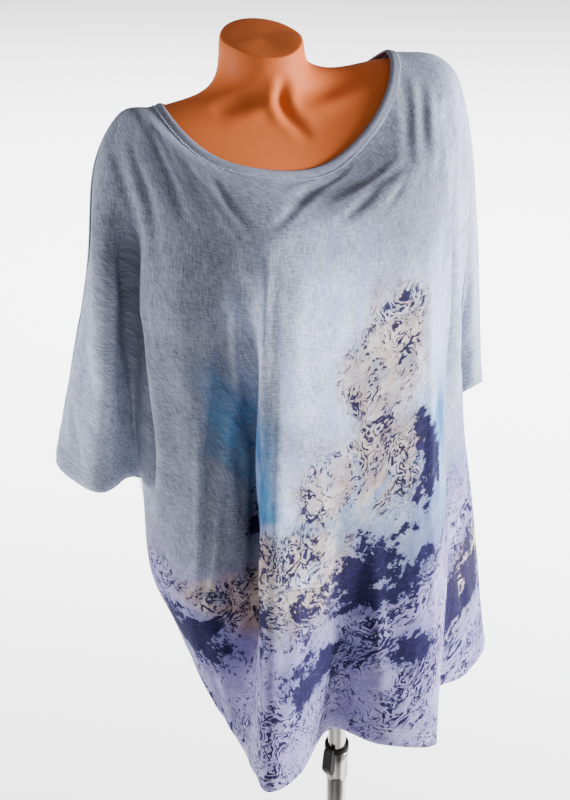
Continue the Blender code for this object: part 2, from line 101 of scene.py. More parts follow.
# The dress form, from its neck cap down. Angles run round each ring from the front.
# "tilt" is the rise per metre towards the wearer's left.
FORM_COLUMNS = (
    "name", "z_side", "z_front", "z_back", "x", "y", "half_width", "front", "back", "corner", "tilt"
)
FORM_RINGS = (
    ("cap_inner", 1.380, 1.3715, 1.3885, -0.078, 0.045, 0.037, 0.038, 0.038, 2.0, 0.0),
    ("cap_edge", 1.3785, 1.369, 1.3875, -0.078, 0.045, 0.044, 0.046, 0.0455, 2.0, 0.0),
    ("cap_side", 1.3735, 1.3635, 1.3825, -0.078, 0.045, 0.0462, 0.048, 0.0475, 2.0, 0.0),
    ("neck", 1.355, 1.336, 1.350, -0.078, 0.044, 0.0468, 0.0495, 0.047, 2.0, 0.0),
    ("neck_root", 1.341, 1.313, 1.318, -0.077, 0.041, 0.054, 0.056, 0.050, 2.0, 0.03),
    ("collar", 1.330, 1.288, 1.297, -0.071, 0.035, 0.083, 0.073, 0.062, 2.1, 0.03),
    ("yoke", 1.336, 1.266, 1.280, -0.061, 0.030, 0.140, 0.092, 0.078, 2.2, 0.07),
    ("shoulder", 1.3225, 1.241, 1.254, -0.057, 0.027, 0.186, 0.104, 0.087, 2.2, 0.02),
    ("shoulder_tip", 1.295, 1.215, 1.228, -0.056, 0.025, 0.205, 0.108, 0.092, 2.1, 0.0),
    ("arm_end", 1.250, 1.180, 1.190, -0.056, 0.024, 0.208, 0.108, 0.094, 2.0, 0.0),
    ("armpit", 1.175, 1.140, 1.145, -0.055, 0.022, 0.186, 0.106, 0.092, 2.0, 0.0),
    ("bust", 1.100, 1.095, 1.090, -0.052, 0.018, 0.160, 0.102, 0.086, 2.1, 0.0),
    ("under_bust", 1.030, 1.030, 1.025, -0.046, 0.014, 0.143, 0.094, 0.078, 2.1, 0.0),
    ("waist", 0.950, 0.950, 0.945, -0.036, 0.010, 0.126, 0.086, 0.070, 2.1, 0.0),
    ("belly", 0.870, 0.870, 0.865, -0.026, 0.006, 0.142, 0.090, 0.086, 2.1, 0.0),
    ("hip", 0.800, 0.800, 0.795, -0.018, 0.003, 0.154, 0.092, 0.098, 2.2, 0.0),
    ("seat", 0.745, 0.745, 0.740, -0.012, 0.001, 0.152, 0.091, 0.098, 2.2, 0.0),
    ("rim", 0.708, 0.708, 0.706, -0.008, 0.000, 0.142, 0.084, 0.090, 2.2, 0.0),
    ("foot", 0.700, 0.700, 0.700, -0.008, 0.000, 0.132, 0.075, 0.081, 2.2, 0.0),
)
CAP_EDGE = 0.6  # how firm the edge of its cap is
FRONT_STEEPNESS = 2.0  # how fast a ring falls from the side to the front
BACK_STEEPNESS = 1.25

# Collarbones and the hollow of the throat: name, width, height and places along each one
FORM_CREASES = (
    ("over_right_collarbone", 0.0105, -0.0048,
     (-0.156, 0.003, 1.317), (-0.128, 0.004, 1.326), (-0.112, 0.001, 1.330), (-0.086, -0.005, 1.336)),
    ("throat_notch", 0.0072, -0.0062,
     (-0.072, -0.005, 1.350), (-0.080, -0.009, 1.328), (-0.078, -0.017, 1.313), (-0.060, -0.038, 1.288)),
    ("over_left_collarbone", 0.0105, -0.0048,
     (-0.060, -0.006, 1.328), (-0.031, -0.002, 1.326), (-0.006, 0.004, 1.328), (0.032, 0.009, 1.332)),
    ("right_collarbone", 0.0070, 0.0011,
     (-0.124, -0.010, 1.314), (-0.101, -0.010, 1.322), (-0.090, -0.014, 1.318), (-0.092, -0.026, 1.302)),
    ("left_collarbone", 0.0080, 0.0008,
     (-0.060, -0.020, 1.310), (-0.030, -0.014, 1.313), (0.010, -0.006, 1.315)),
)
SHOULDER_RING = 7  # the ring over which the cloth turns down into the sleeves
SHOULDER_EASE = 0.006  # how far the cloth stands off it
FORM_SIDES = 36
FORM_SMOOTHING = 3
FORM_FOOT_Z = 0.700
BUST_SPACING = 0.190
BUST_HEIGHT = 1.185
BUST_SPREAD = 0.056
BUST_TALLNESS = 1.15  # its spread up and down, as a share of its spread across
BUST_RISE = 0.046

# The shirt's folds, in order round it. "columns" is the number of mesh columns up to the next fold and
# "angle" is where the fold's line leaves the neck. The rest are its places on the cloth, from the top down.
FOLD_COLUMNS = ("name", "columns", "angle", "chest", "bust", "underarm", "hip", "hem")

# Seam lines that the front and the back share, from the top down
SLEEVE_SEAM_RIGHT = ((-0.280, 0.030, 1.268), (-0.294, 0.030, 1.145), (-0.338, 0.026, 0.938), None, None)
SLEEVE_SEAM_LEFT = ((0.170, 0.032, 1.268), (0.189, 0.035, 1.145), (0.209, 0.040, 0.915), None, None)
SIDE_SEAM_RIGHT = ((-0.246, 0.008, 0.902), (-0.216, 0.052, 0.800), (-0.196, 0.084, 0.716))
SIDE_SEAM_LEFT = ((0.162, 0.022, 0.908), (0.188, 0.030, 0.760), (0.208, 0.012, 0.577))

FRONT_FOLDS = (
    ("sleeve_edge_right", 2, -90, *SLEEVE_SEAM_RIGHT),
    ("sleeve_corner_right", 2, -87,
     (-0.279, 0.008, 1.263), (-0.296, 0.004, 1.145), (-0.332, -0.006, 0.926),
     None, None),
    ("sleeve_face_right", 3, -82,
     (-0.274, -0.010, 1.258), (-0.294, -0.026, 1.145), (-0.309, -0.030, 0.917),
     None, None),
    ("sleeve_valley_right", 2, -78,
     (-0.266, -0.024, 1.253), (-0.276, -0.018, 1.145), (-0.265, 0.006, 0.908),
     None, None),
    ("armpit_right", 4, -74,
     (-0.258, -0.034, 1.248), (-0.262, -0.014, 1.145), *SIDE_SEAM_RIGHT),
    ("side_lobe_outer", 4, -65,
     (-0.240, -0.056, 1.240), (-0.263, -0.050, 1.140), (-0.260, -0.050, 0.925),
     (-0.244, -0.015, 0.790), (-0.213, 0.015, 0.724)),
    ("side_lobe_inner", 4, -55,
     (-0.218, -0.078, 1.232), (-0.242, -0.096, 1.138), (-0.221, -0.108, 0.930),
     (-0.220, -0.088, 0.770), (-0.201, -0.060, 0.651)),
    ("side_valley_right", 3, -45,
     (-0.190, -0.100, 1.226), (-0.190, -0.118, 1.135), (-0.153, -0.100, 0.930),
     (-0.153, -0.100, 0.760), (-0.178, -0.108, 0.591)),
    ("crest_right_edge", 3, -38,
     (-0.174, -0.112, 1.223), (-0.172, -0.142, 1.132), (-0.171, -0.146, 0.930),
     (-0.177, -0.154, 0.760), (-0.185, -0.160, 0.588)),
    ("crest_right", 4, -31,
     (-0.152, -0.120, 1.222), (-0.161, -0.158, 1.130), (-0.173, -0.176, 0.930),
     (-0.181, -0.186, 0.760), (-0.184, -0.192, 0.585)),
    ("crest_right_inner", 4, -19,
     (-0.112, -0.122, 1.222), (-0.131, -0.162, 1.130), (-0.133, -0.172, 0.930),
     (-0.139, -0.180, 0.760), (-0.141, -0.178, 0.588)),
    ("front_valley", 4, -4,
     (-0.058, -0.116, 1.225), (-0.078, -0.156, 1.130), (-0.077, -0.160, 0.930),
     (-0.074, -0.152, 0.760), (-0.072, -0.118, 0.592)),
    ("crest_left_inner", 4, 13,
     (-0.002, -0.110, 1.232), (-0.024, -0.150, 1.132), (-0.027, -0.160, 0.930),
     (-0.034, -0.170, 0.760), (-0.040, -0.178, 0.598)),
    ("crest_left", 3, 30,
     (0.053, -0.094, 1.240), (0.035, -0.135, 1.138), (0.030, -0.158, 0.930),
     (0.028, -0.172, 0.760), (0.023, -0.186, 0.580)),
    ("flank_left", 3, 42,
     (0.092, -0.064, 1.250), (0.073, -0.096, 1.142), (0.078, -0.104, 0.930),
     (0.081, -0.114, 0.760), (0.053, -0.148, 0.566)),
    ("side_valley_left", 4, 52,
     (0.110, -0.042, 1.256), (0.104, -0.054, 1.143), (0.091, -0.066, 0.930),
     (0.091, -0.076, 0.760), (0.082, -0.084, 0.577)),
    ("side_lobe_left", 4, 63,
     (0.125, -0.025, 1.262), (0.128, -0.030, 1.144), (0.153, -0.015, 0.915),
     (0.167, -0.018, 0.760), (0.146, -0.060, 0.573)),
    ("armpit_left", 4, 74,
     (0.138, -0.010, 1.268), (0.147, -0.010, 1.145), *SIDE_SEAM_LEFT),
    ("sleeve_face_left", 3, 83,
     (0.154, 0.005, 1.275), (0.163, -0.008, 1.145), (0.184, 0.010, 0.926),
     None, None),
    ("sleeve_edge_left", 0, 90, *SLEEVE_SEAM_LEFT),
)
BACK_FOLDS = (
    ("sleeve_edge_left", 3, 90, *SLEEVE_SEAM_LEFT),
    ("sleeve_back_left", 4, 98,
     (0.186, 0.078, 1.262), (0.188, 0.086, 1.140), (0.204, 0.094, 0.906),
     None, None),
    ("armpit_left", 4, 107,
     (0.168, 0.100, 1.250), (0.160, 0.096, 1.130), *SIDE_SEAM_LEFT),
    ("back_lobe_left", 4, 122,
     (0.120, 0.122, 1.230), (0.124, 0.130, 1.120), (0.138, 0.126, 0.905),
     (0.150, 0.130, 0.760), (0.156, 0.128, 0.610)),
    ("back_valley_left", 4, 139,
     (0.070, 0.130, 1.222), (0.072, 0.136, 1.115), (0.078, 0.116, 0.905),
     (0.084, 0.112, 0.760), (0.090, 0.106, 0.600)),
    ("back_lobe_middle", 5, 164,
     (0.002, 0.132, 1.215), (0.004, 0.142, 1.110), (0.010, 0.152, 0.905),
     (0.014, 0.164, 0.760), (0.018, 0.176, 0.596)),
    ("back_valley_middle", 5, 192,
     (-0.070, 0.132, 1.210), (-0.070, 0.142, 1.108), (-0.066, 0.132, 0.905),
     (-0.062, 0.128, 0.760), (-0.056, 0.126, 0.602)),
    ("back_lobe_right", 4, 218,
     (-0.140, 0.124, 1.212), (-0.142, 0.136, 1.112), (-0.146, 0.152, 0.908),
     (-0.138, 0.162, 0.760), (-0.122, 0.168, 0.628)),
    ("back_valley_right", 4, 237,
     (-0.190, 0.112, 1.218), (-0.196, 0.120, 1.118), (-0.194, 0.104, 0.912),
     (-0.184, 0.112, 0.780), (-0.166, 0.124, 0.668)),
    ("armpit_right", 4, 252,
     (-0.228, 0.096, 1.228), (-0.226, 0.090, 1.128), *SIDE_SEAM_RIGHT),
    ("sleeve_back_right", 3, 262,
     (-0.258, 0.074, 1.250), (-0.266, 0.080, 1.138), (-0.298, 0.086, 0.936),
     None, None),
    ("sleeve_edge_right", 0, 270, *SLEEVE_SEAM_RIGHT),
)

# Mesh rows of the solid from the level above down to each level. The neck seam is level 0.
LEVEL_ROWS = {"shoulder": 5, "chest": 5, "bust": 4, "underarm": 6, "hip": 5, "hem": 5}
UNDERARM = 4  # the level at which the sleeves end and the side seams start
ROWS_TO_UNDERARM = sum(list(LEVEL_ROWS.values())[:UNDERARM]) * FINENESS

HEM_DEPTH = 0.0225  # of the turned hems
HEM_RISE = 0.0006
HEM_SOFTNESS = 0.0012  # of the step at the hem's inner edge
HEM_STITCHES = (0.0010, 0.0065)  # the two rows' distances from that edge
HEM_GROOVE = 0.0040  # the distance from it of the hollow between the rows
HEM_GROOVE_WIDTH = 0.0035
SEAM_DIP = 0.0009
EDGE_STITCH = 0.0014  # from the neck seam
HEM_THREAD = 0.0006
NECK_THREAD = 0.0011
THREAD_SIDES = 5

# One stitch from end to end: its place along the stitch, then its lift and its thickness, all as shares
STITCH_RINGS = ((-0.42, -0.2, 0.6), (-0.2, 0.9, 1.0), (0.2, 0.9, 1.0), (0.42, -0.2, 0.6))

# Colours of the print
PALE_WASH = (0.64, 0.68, 0.87)
PALE_SHADE = (0.36, 0.42, 0.58)
PALE_BLUE = (0.43, 0.50, 0.80)
SKY_WASH = (0.075, 0.26, 0.50)
SKY_DEEP = (0.030, 0.110, 0.270)
SAND = (0.60, 0.50, 0.46)
SAND_SHADE = (0.36, 0.26, 0.24)
SAND_GREY = (0.30, 0.28, 0.33)
LILAC = (0.38, 0.34, 0.60)
LILAC_SHADE = (0.24, 0.20, 0.42)
NAVY = (0.006, 0.004, 0.030)
INK_VIOLET = (0.015, 0.010, 0.062)
INK_WASH = (0.10, 0.11, 0.27)
PRINT_DRIFT = 0.16  # how far the edges wander
PRINT_FOOT = (-0.47, -0.57)  # the heights between which the lilac foot starts
BACK_SHIFT = 3.7  # parts the back's noises from the front's
STONE_VEINS = ((0.38, 0.016), (0.47, 0.024), (0.56, 0.019), (0.64, 0.016))  # noise levels and widths
VEIN_GROWTH = 1.2  # how much the ink's load widens a vein
VEIN_BREAKS = 0.012

# Darker and lighter colours of the stand, the form's plastic apart, with painted reflections in the chrome,
# and of the studio's floor
BLACK_PLASTIC = ((0.004, 0.003, 0.003), (0.008, 0.007, 0.007))
PAINTED_STEEL = ((0.018, 0.018, 0.020), (0.034, 0.034, 0.036))
# painted reflections of the room in the chrome: places along a noise and their colours
CHROME_PAINTED_REFLECTIONS = ((0.38, (0.07, 0.055, 0.045)), (0.48, (0.36, 0.31, 0.27)), (0.62, (0.60, 0.60, 0.58)))
CHROME_RUBBED = (0.70, 0.69, 0.68)
STUDIO_PAPER = ((0.86, 0.86, 0.87), (0.90, 0.90, 0.905))
SURROUND_COLOUR = (1.0, 0.985, 0.97, 1.0)

# Pools of the print's colours, and pools of painted light on the sleeves: colour, side, middle and half
# size on the cloth, across and up
PRINT_POOLS = (
    ("pale", "front", (-0.010, -0.200), (0.090, 0.110)),
    ("pale", "front", (0.110, -0.330), (0.110, 0.160)),
    ("pale", "front", (-0.050, -0.420), (0.080, 0.090)),
    # painted light: paler pools on the sleeves that stand in for the side light and the key light falling
    # there
    ("painted_sleeve_light", "front", (-0.425, -0.300), (0.115, 0.190)),
    ("painted_sleeve_light", "front", (0.360, -0.200), (0.150, 0.250)),
    ("painted_sleeve_light", "back", (-0.430, -0.300), (0.120, 0.200)),
    ("painted_sleeve_light", "back", (0.430, -0.300), (0.120, 0.200)),
    ("pale", "back", (0.060, -0.300), (0.130, 0.120)),
    ("pale", "back", (-0.130, -0.420), (0.110, 0.090)),
    ("sky", "front", (-0.120, -0.370), (0.050, 0.100)),
    ("sky", "front", (0.170, -0.430), (0.060, 0.110)),
    ("sky", "front", (0.330, -0.600), (0.070, 0.080)),
    ("sky", "front", (0.020, -0.420), (0.070, 0.050)),
    ("sky", "back", (-0.060, -0.420), (0.090, 0.120)),
    ("sky", "back", (0.180, -0.480), (0.080, 0.080)),
    ("marble", "front", (0.080, -0.260), (0.055, 0.080)),
    ("marble", "front", (0.050, -0.370), (0.085, 0.060)),
    ("marble", "front", (-0.040, -0.470), (0.090, 0.060)),
    ("marble", "front", (-0.190, -0.550), (0.060, 0.040)),
    ("marble", "front", (0.340, -0.690), (0.050, 0.050)),
    ("marble", "back", (-0.070, -0.330), (0.080, 0.090)),
    ("marble", "back", (0.060, -0.450), (0.100, 0.070)),
    ("marble", "back", (0.200, -0.560), (0.060, 0.060)),
    ("ink", "front", (-0.125, -0.490), (0.050, 0.080)),
    ("ink", "front", (0.070, -0.500), (0.080, 0.050)),
    ("ink", "front", (0.130, -0.400), (0.026, 0.060)),
    ("ink", "front", (-0.010, -0.600), (0.060, 0.035)),
    ("ink", "front", (0.120, -0.620), (0.040, 0.030)),
    ("ink", "front", (-0.260, -0.620), (0.060, 0.045)),
    ("ink", "front", (0.330, -0.700), (0.080, 0.060)),
    ("ink", "back", (-0.140, -0.520), (0.070, 0.070)),
    ("ink", "back", (0.120, -0.500), (0.070, 0.050)),
    ("ink", "back", (0.010, -0.600), (0.060, 0.035)),
)

# The photograph's view of the object
CAMERA_TARGET = Vector((-0.058, 0.028, 0.95))
CAMERA_AZIMUTH = -26.0
CAMERA_PITCH = 26.0
CAMERA_DISTANCE = 2.6
CAMERA_LENS = 101.7

# Section of the folded binding: inset from the neck seam and height above the dress form
BINDING_SECTION = (
    (-0.0008, 0.0010), (-0.0006, 0.0022), (0.0002, 0.0027), (0.0012, 0.0025), (0.0026, 0.0031),
    (0.0048, 0.0035), (0.0070, 0.0033), (0.0084, 0.0027), (0.0092, 0.0019), (0.0090, 0.0010),
    (0.0078, 0.0006), (0.0040, 0.0006), (0.0005, 0.0006),
)
BINDING_LENGTH = 0.80
BINDING_STEPS = 300  # round the neck
BINDING_WEAVE = 0.0022  # cloth between two points of its section
NECK_LIFT = 0.006  # how far the neckline stands off the form at the wearer's left

# The studio's lights: name, size, degrees round the form and up, distance from its middle and colour
FORM_LIGHTS = (
    ("key_light", 1.0, 60, 5, 2.5, (0.95, 0.975, 1.0)),
    ("side_light", 0.9, -107, 4, 2.8, (0.94, 0.97, 1.0)),
)
PAPER_LIGHTS = {"paper_light_left": 130, "paper_light_right": 178}  # degrees round the form
PAPER_LIGHT_SIZE = 3.2
PAPER_LIGHT_DISTANCE = 2.9
PAPER_LIGHT_HEIGHT = 1.25
FLOOR_SIZE = 30.0

# Beside each crease the cloth rises or falls the other way by a share of its height
BANK_SHARE = 0.3
BANK_PLACE = 1.9  # in widths from the crease's line
CREASE_STEPS = 10  # between two of its places
CREASE_FADE = 0.8  # how evenly it fades towards its ends

# Creases: name, width, height (below zero is a trough) and places along it on the cloth itself: across from
# the panel's middle, towards the wearer's left on the front and right on the back, and down from the neck.
FRONT_CREASES = (
    ("sleeve_trough", 0.017, -0.0130, (-0.228, 0.100), (-0.243, 0.214), (-0.278, 0.321), (-0.332, 0.480)),
    ("sleeve_ridge", 0.015, 0.0085, (-0.240, 0.060), (-0.268, 0.160), (-0.318, 0.268), (-0.376, 0.400)),
    ("shoulder_pull_1", 0.0080, -0.0034, (-0.236, 0.070), (-0.219, 0.123), (-0.213, 0.180)),
    ("shoulder_pull_2", 0.0070, -0.0030, (-0.204, 0.050), (-0.195, 0.097), (-0.186, 0.155)),
    ("shoulder_pull_3", 0.0080, -0.0026, (-0.172, 0.018), (-0.162, 0.058), (-0.155, 0.110)),
    ("shoulder_pull_4", 0.0080, 0.0012, (-0.130, 0.020), (-0.114, 0.057), (-0.093, 0.098)),
    ("shoulder_pull_5", 0.0055, -0.0012, (-0.100, 0.018), (-0.096, 0.052), (-0.083, 0.080)),
    ("short_nick", 0.0036, -0.0026, (-0.206, 0.182), (-0.208, 0.231), (-0.214, 0.290)),
    ("short_nick_across", 0.0032, -0.0016, (-0.204, 0.190), (-0.180, 0.184), (-0.145, 0.170)),
    ("recess_trough", 0.0100, -0.0143, (-0.084, 0.130), (-0.104, 0.273), (-0.160, 0.445), (-0.184, 0.640)),
    ("recess_fold", 0.0048, -0.0111, (-0.112, 0.170), (-0.147, 0.275), (-0.197, 0.368), (-0.227, 0.452),
     (-0.247, 0.590)),
    ("underarm_hollow", 0.0120, -0.0208, (-0.226, 0.225), (-0.262, 0.345), (-0.322, 0.470)),
    ("recess_ridge", 0.0080, 0.0059, (-0.092, 0.148), (-0.123, 0.261), (-0.180, 0.376), (-0.212, 0.540)),
    ("crest_ridge", 0.0048, 0.0048, (-0.068, 0.105), (-0.071, 0.237), (-0.086, 0.398), (-0.108, 0.640)),
    ("neck_pull_1", 0.0055, -0.0038, (0.098, -0.004), (0.031, 0.025), (-0.036, 0.051)),
    ("neck_pull_2", 0.0040, -0.0022, (0.010, 0.037), (-0.028, 0.056), (-0.062, 0.078)),
    ("neck_pull_3", 0.0045, -0.0026, (0.082, 0.056), (0.044, 0.070), (0.010, 0.084)),
    ("neck_pull_4", 0.0045, 0.0020, (0.134, 0.045), (0.074, 0.048), (0.010, 0.062)),
    ("neck_pull_5", 0.0040, -0.0018, (0.120, 0.062), (0.088, 0.078), (0.052, 0.090)),
    ("bust_ridge", 0.0110, 0.0022, (0.120, 0.097), (0.036, 0.082), (-0.030, 0.080), (-0.080, 0.099)),
    ("left_shoulder_pull_1", 0.0070, -0.0026, (0.230, 0.000), (0.177, 0.028), (0.126, 0.066)),
    ("left_shoulder_pull_2", 0.0070, -0.0026, (0.232, 0.025), (0.185, 0.049), (0.132, 0.084)),
    ("left_shoulder_pull_3", 0.0060, -0.0022, (0.236, 0.048), (0.194, 0.067), (0.158, 0.096)),
    ("left_sleeve_gap", 0.0130, -0.0260, (0.228, 0.060), (0.205, 0.103), (0.222, 0.163), (0.248, 0.235),
     (0.262, 0.300), (0.272, 0.366), (0.280, 0.450)),
    ("left_sleeve_ridge", 0.0130, 0.0080, (0.262, 0.100), (0.278, 0.158), (0.297, 0.215), (0.319, 0.282),
     (0.341, 0.352), (0.366, 0.423)),
    ("left_crest_ridge", 0.0060, 0.0030, (0.142, 0.135), (0.139, 0.298), (0.137, 0.476), (0.160, 0.690)),
    ("side_ridge_1", 0.0050, 0.0044, (0.284, 0.490), (0.330, 0.559), (0.372, 0.625)),
    ("side_trough_1", 0.0055, -0.0048, (0.298, 0.548), (0.334, 0.598), (0.368, 0.650)),
    ("side_ridge_2", 0.0050, 0.0036, (0.288, 0.562), (0.324, 0.612), (0.360, 0.668)),
    ("side_trough_2", 0.0065, -0.0040, (0.296, 0.600), (0.331, 0.678), (0.358, 0.750)),
    ("right_lobe_trough", 0.0100, -0.0036, (-0.204, 0.298), (-0.258, 0.404), (-0.292, 0.540)),
    ("right_lobe_ridge", 0.0110, 0.0032, (-0.224, 0.330), (-0.270, 0.448), (-0.282, 0.590)),
    ("right_hem_pull", 0.0075, -0.0034, (-0.240, 0.590), (-0.233, 0.662), (-0.216, 0.730)),
    ("middle_ridge", 0.0095, 0.0026, (-0.036, 0.430), (-0.045, 0.544), (-0.068, 0.690)),
    ("middle_trough", 0.0110, -0.0034, (0.014, 0.390), (0.026, 0.537), (0.050, 0.700)),
    ("hem_ridge", 0.0095, 0.0026, (0.062, 0.460), (0.077, 0.588), (0.112, 0.710)),
    ("right_cuff_pull_1", 0.0055, -0.0024, (-0.427, 0.355), (-0.438, 0.396), (-0.450, 0.440)),
    ("right_cuff_pull_2", 0.0050, -0.0022, (-0.384, 0.385), (-0.410, 0.420), (-0.433, 0.452)),
    ("left_cuff_pull_1", 0.0050, -0.0026, (0.330, 0.300), (0.345, 0.350), (0.352, 0.410)),
    ("left_cuff_pull_2", 0.0055, -0.0024, (0.300, 0.330), (0.322, 0.375), (0.326, 0.425)),
)
BACK_CREASES = (
    ("neck_pull_1", 0.0060, -0.0026, (-0.070, 0.012), (-0.086, 0.070), (-0.092, 0.140)),
    ("neck_pull_2", 0.0070, -0.0022, (0.010, 0.008), (0.014, 0.060), (0.004, 0.120)),
    ("neck_pull_3", 0.0060, -0.0026, (0.082, 0.014), (0.098, 0.076), (0.106, 0.150)),
    ("left_shoulder_pull_1", 0.0075, -0.0032, (-0.150, 0.020), (-0.176, 0.080), (-0.190, 0.150)),
    ("left_shoulder_pull_2", 0.0065, -0.0028, (-0.200, 0.050), (-0.222, 0.110), (-0.240, 0.190)),
    ("right_shoulder_pull_1", 0.0075, -0.0032, (0.152, 0.020), (0.172, 0.082), (0.186, 0.150)),
    ("right_shoulder_pull_2", 0.0065, -0.0028, (0.198, 0.052), (0.224, 0.116), (0.246, 0.186)),
    ("blade_hollow", 0.0140, -0.0036, (-0.020, 0.120), (-0.030, 0.240), (-0.020, 0.380)),
    ("right_hang_1", 0.0090, 0.0034, (0.070, 0.180), (0.084, 0.330), (0.088, 0.520)),
    ("right_hang_2", 0.0080, -0.0040, (0.110, 0.220), (0.126, 0.380), (0.130, 0.640)),
    ("left_hang_1", 0.0090, 0.0034, (-0.090, 0.200), (-0.104, 0.380), (-0.118, 0.560)),
    ("left_hang_2", 0.0080, -0.0040, (-0.140, 0.180), (-0.168, 0.360), (-0.196, 0.620)),
    ("middle_hang", 0.0075, -0.0030, (0.030, 0.340), (0.034, 0.480), (0.028, 0.660)),
    ("left_cuff_pull_1", 0.0060, -0.0034, (-0.300, 0.270), (-0.330, 0.350), (-0.350, 0.430)),
    ("left_cuff_pull_2", 0.0050, -0.0026, (-0.350, 0.300), (-0.372, 0.360), (-0.390, 0.420)),
    ("right_cuff_pull_1", 0.0060, -0.0034, (0.300, 0.240), (0.330, 0.320), (0.352, 0.400)),
    ("right_cuff_pull_2", 0.0050, -0.0026, (0.350, 0.260), (0.372, 0.330), (0.392, 0.400)),
)


def superellipse(angle, corner):
    """Unit place across and along a rounded oval, from the front round by the wearer's left."""
    s, c = math.sin(math.radians(angle)), math.cos(math.radians(angle))
    power = 2.0 / corner
    return math.copysign(abs(s) ** power, s), math.copysign(abs(c) ** power, c)


def form_point(ring, angle):
    """A point of the dress form: an oval in plan whose height runs from the front to the side."""
    row = dict(zip(FORM_COLUMNS, ring))
    across, along = superellipse(angle, row["corner"])
    c = abs(math.cos(math.radians(angle)))
    front = along >= 0
    x = row["half_width"] * across
    y = -(row["front"] if front else row["back"]) * along
    z_middle, steepness = (row["z_front"], FRONT_STEEPNESS) if front else (row["z_back"], BACK_STEEPNESS)
    z = row["z_side"] + (z_middle - row["z_side"]) * c**steepness
    if front:
        for side in (-1, 1):
            reach = (x - side * BUST_SPACING / 2) / BUST_SPREAD
            rise = (z - BUST_HEIGHT) / (BUST_SPREAD * BUST_TALLNESS)
            y -= BUST_RISE * math.exp(-reach * reach - rise * rise)
    x += row["x"]
    return Vector((x, y + row["y"], z + row["tilt"] * (x - row["x"])))


def neckline_plan(angle, inset):
    """Place in plan of the neck seam, or of a line that runs inside it."""
    across, along = superellipse(angle, NECK_CORNER)
    depth = NECK_FRONT_DEPTH if along >= 0 else NECK_BACK_DEPTH
    x = NECK_X + (NECK_HALF_WIDTH - inset) * across + NECK_TWIST * along
    return x, NECK_Y - (depth - inset * NECK_DEPTH_INSET) * along


def neck_lift(angle):
    """How far the neckline stands off the form: only at the wearer's left."""
    return Vector((0, 0, NECK_LIFT * max(0.0, math.sin(math.radians(angle))) ** 2))


def drop_on(surface, x, y):
    """The point of a surface under a place in plan, and its normal."""
    place, normal, _, _ = surface.ray_cast(Vector((x, y, ABOVE_FORM)), Vector((0, 0, -1)))
    if place is None:
        raise ValueError(f"nothing lies under {x:.3f}, {y:.3f}")
    return place, normal


def lengths_along(points):
    """The length of a line up to each of its points."""
    steps = np.linalg.norm(np.diff(points, axis=0), axis=1)
    return np.concatenate([[0], np.cumsum(steps)])


def places_along(distances, length, points):
    """The points of a line at the given distances."""
    return np.stack([np.interp(distances, length, points[:, i]) for i in range(points.shape[1])], axis=-1)


def curve_through(points, spans, before=None, after=None):
    """Catmull-Rom through the points, cut into equal lengths between each pair."""
    pts = [np.array(p, float) for p in points]
    first = 2 * pts[0] - pts[1] if before is None else np.array(before, float)
    last = 2 * pts[-1] - pts[-2] if after is None else np.array(after, float)
    ends = [first] + pts + [last]
    t = np.linspace(0, 1, CURVE_SAMPLES)[:, None]
    out = []
    for i, count in enumerate(spans):
        p0, p1, p2, p3 = ends[i : i + 4]
        fine = 0.5 * (
            2 * p1 + (p2 - p0) * t
            + (2 * p0 - 5 * p1 + 4 * p2 - p3) * t**2
            + (3 * p1 - p0 - 3 * p2 + p3) * t**3
        )
        length = lengths_along(fine)
        out.append(places_along(np.linspace(0, length[-1], count + 1)[:-1], length, fine))
    return np.concatenate(out + [pts[-1][None]])


def level_curve(table, other, level, spans):
    """Points round one level of a panel, which run on smoothly into the other panel's."""
    at = [i for i, row in enumerate(table) if row[level] is not None]
    beyond = [row[level] for row in other if row[level] is not None]
    return curve_through([table[i][level] for i in at], spans[at[0] : at[-1]], beyond[-2], beyond[1])


def shoulder_point(angle):
    """Where the cloth turns over the dress form's shoulder."""
    a = math.radians(angle)
    ease = Vector((math.sin(a), -math.cos(a), 1.0)).normalized() * SHOULDER_EASE
    return form_point(FORM_RINGS[SHOULDER_RING], angle) + ease


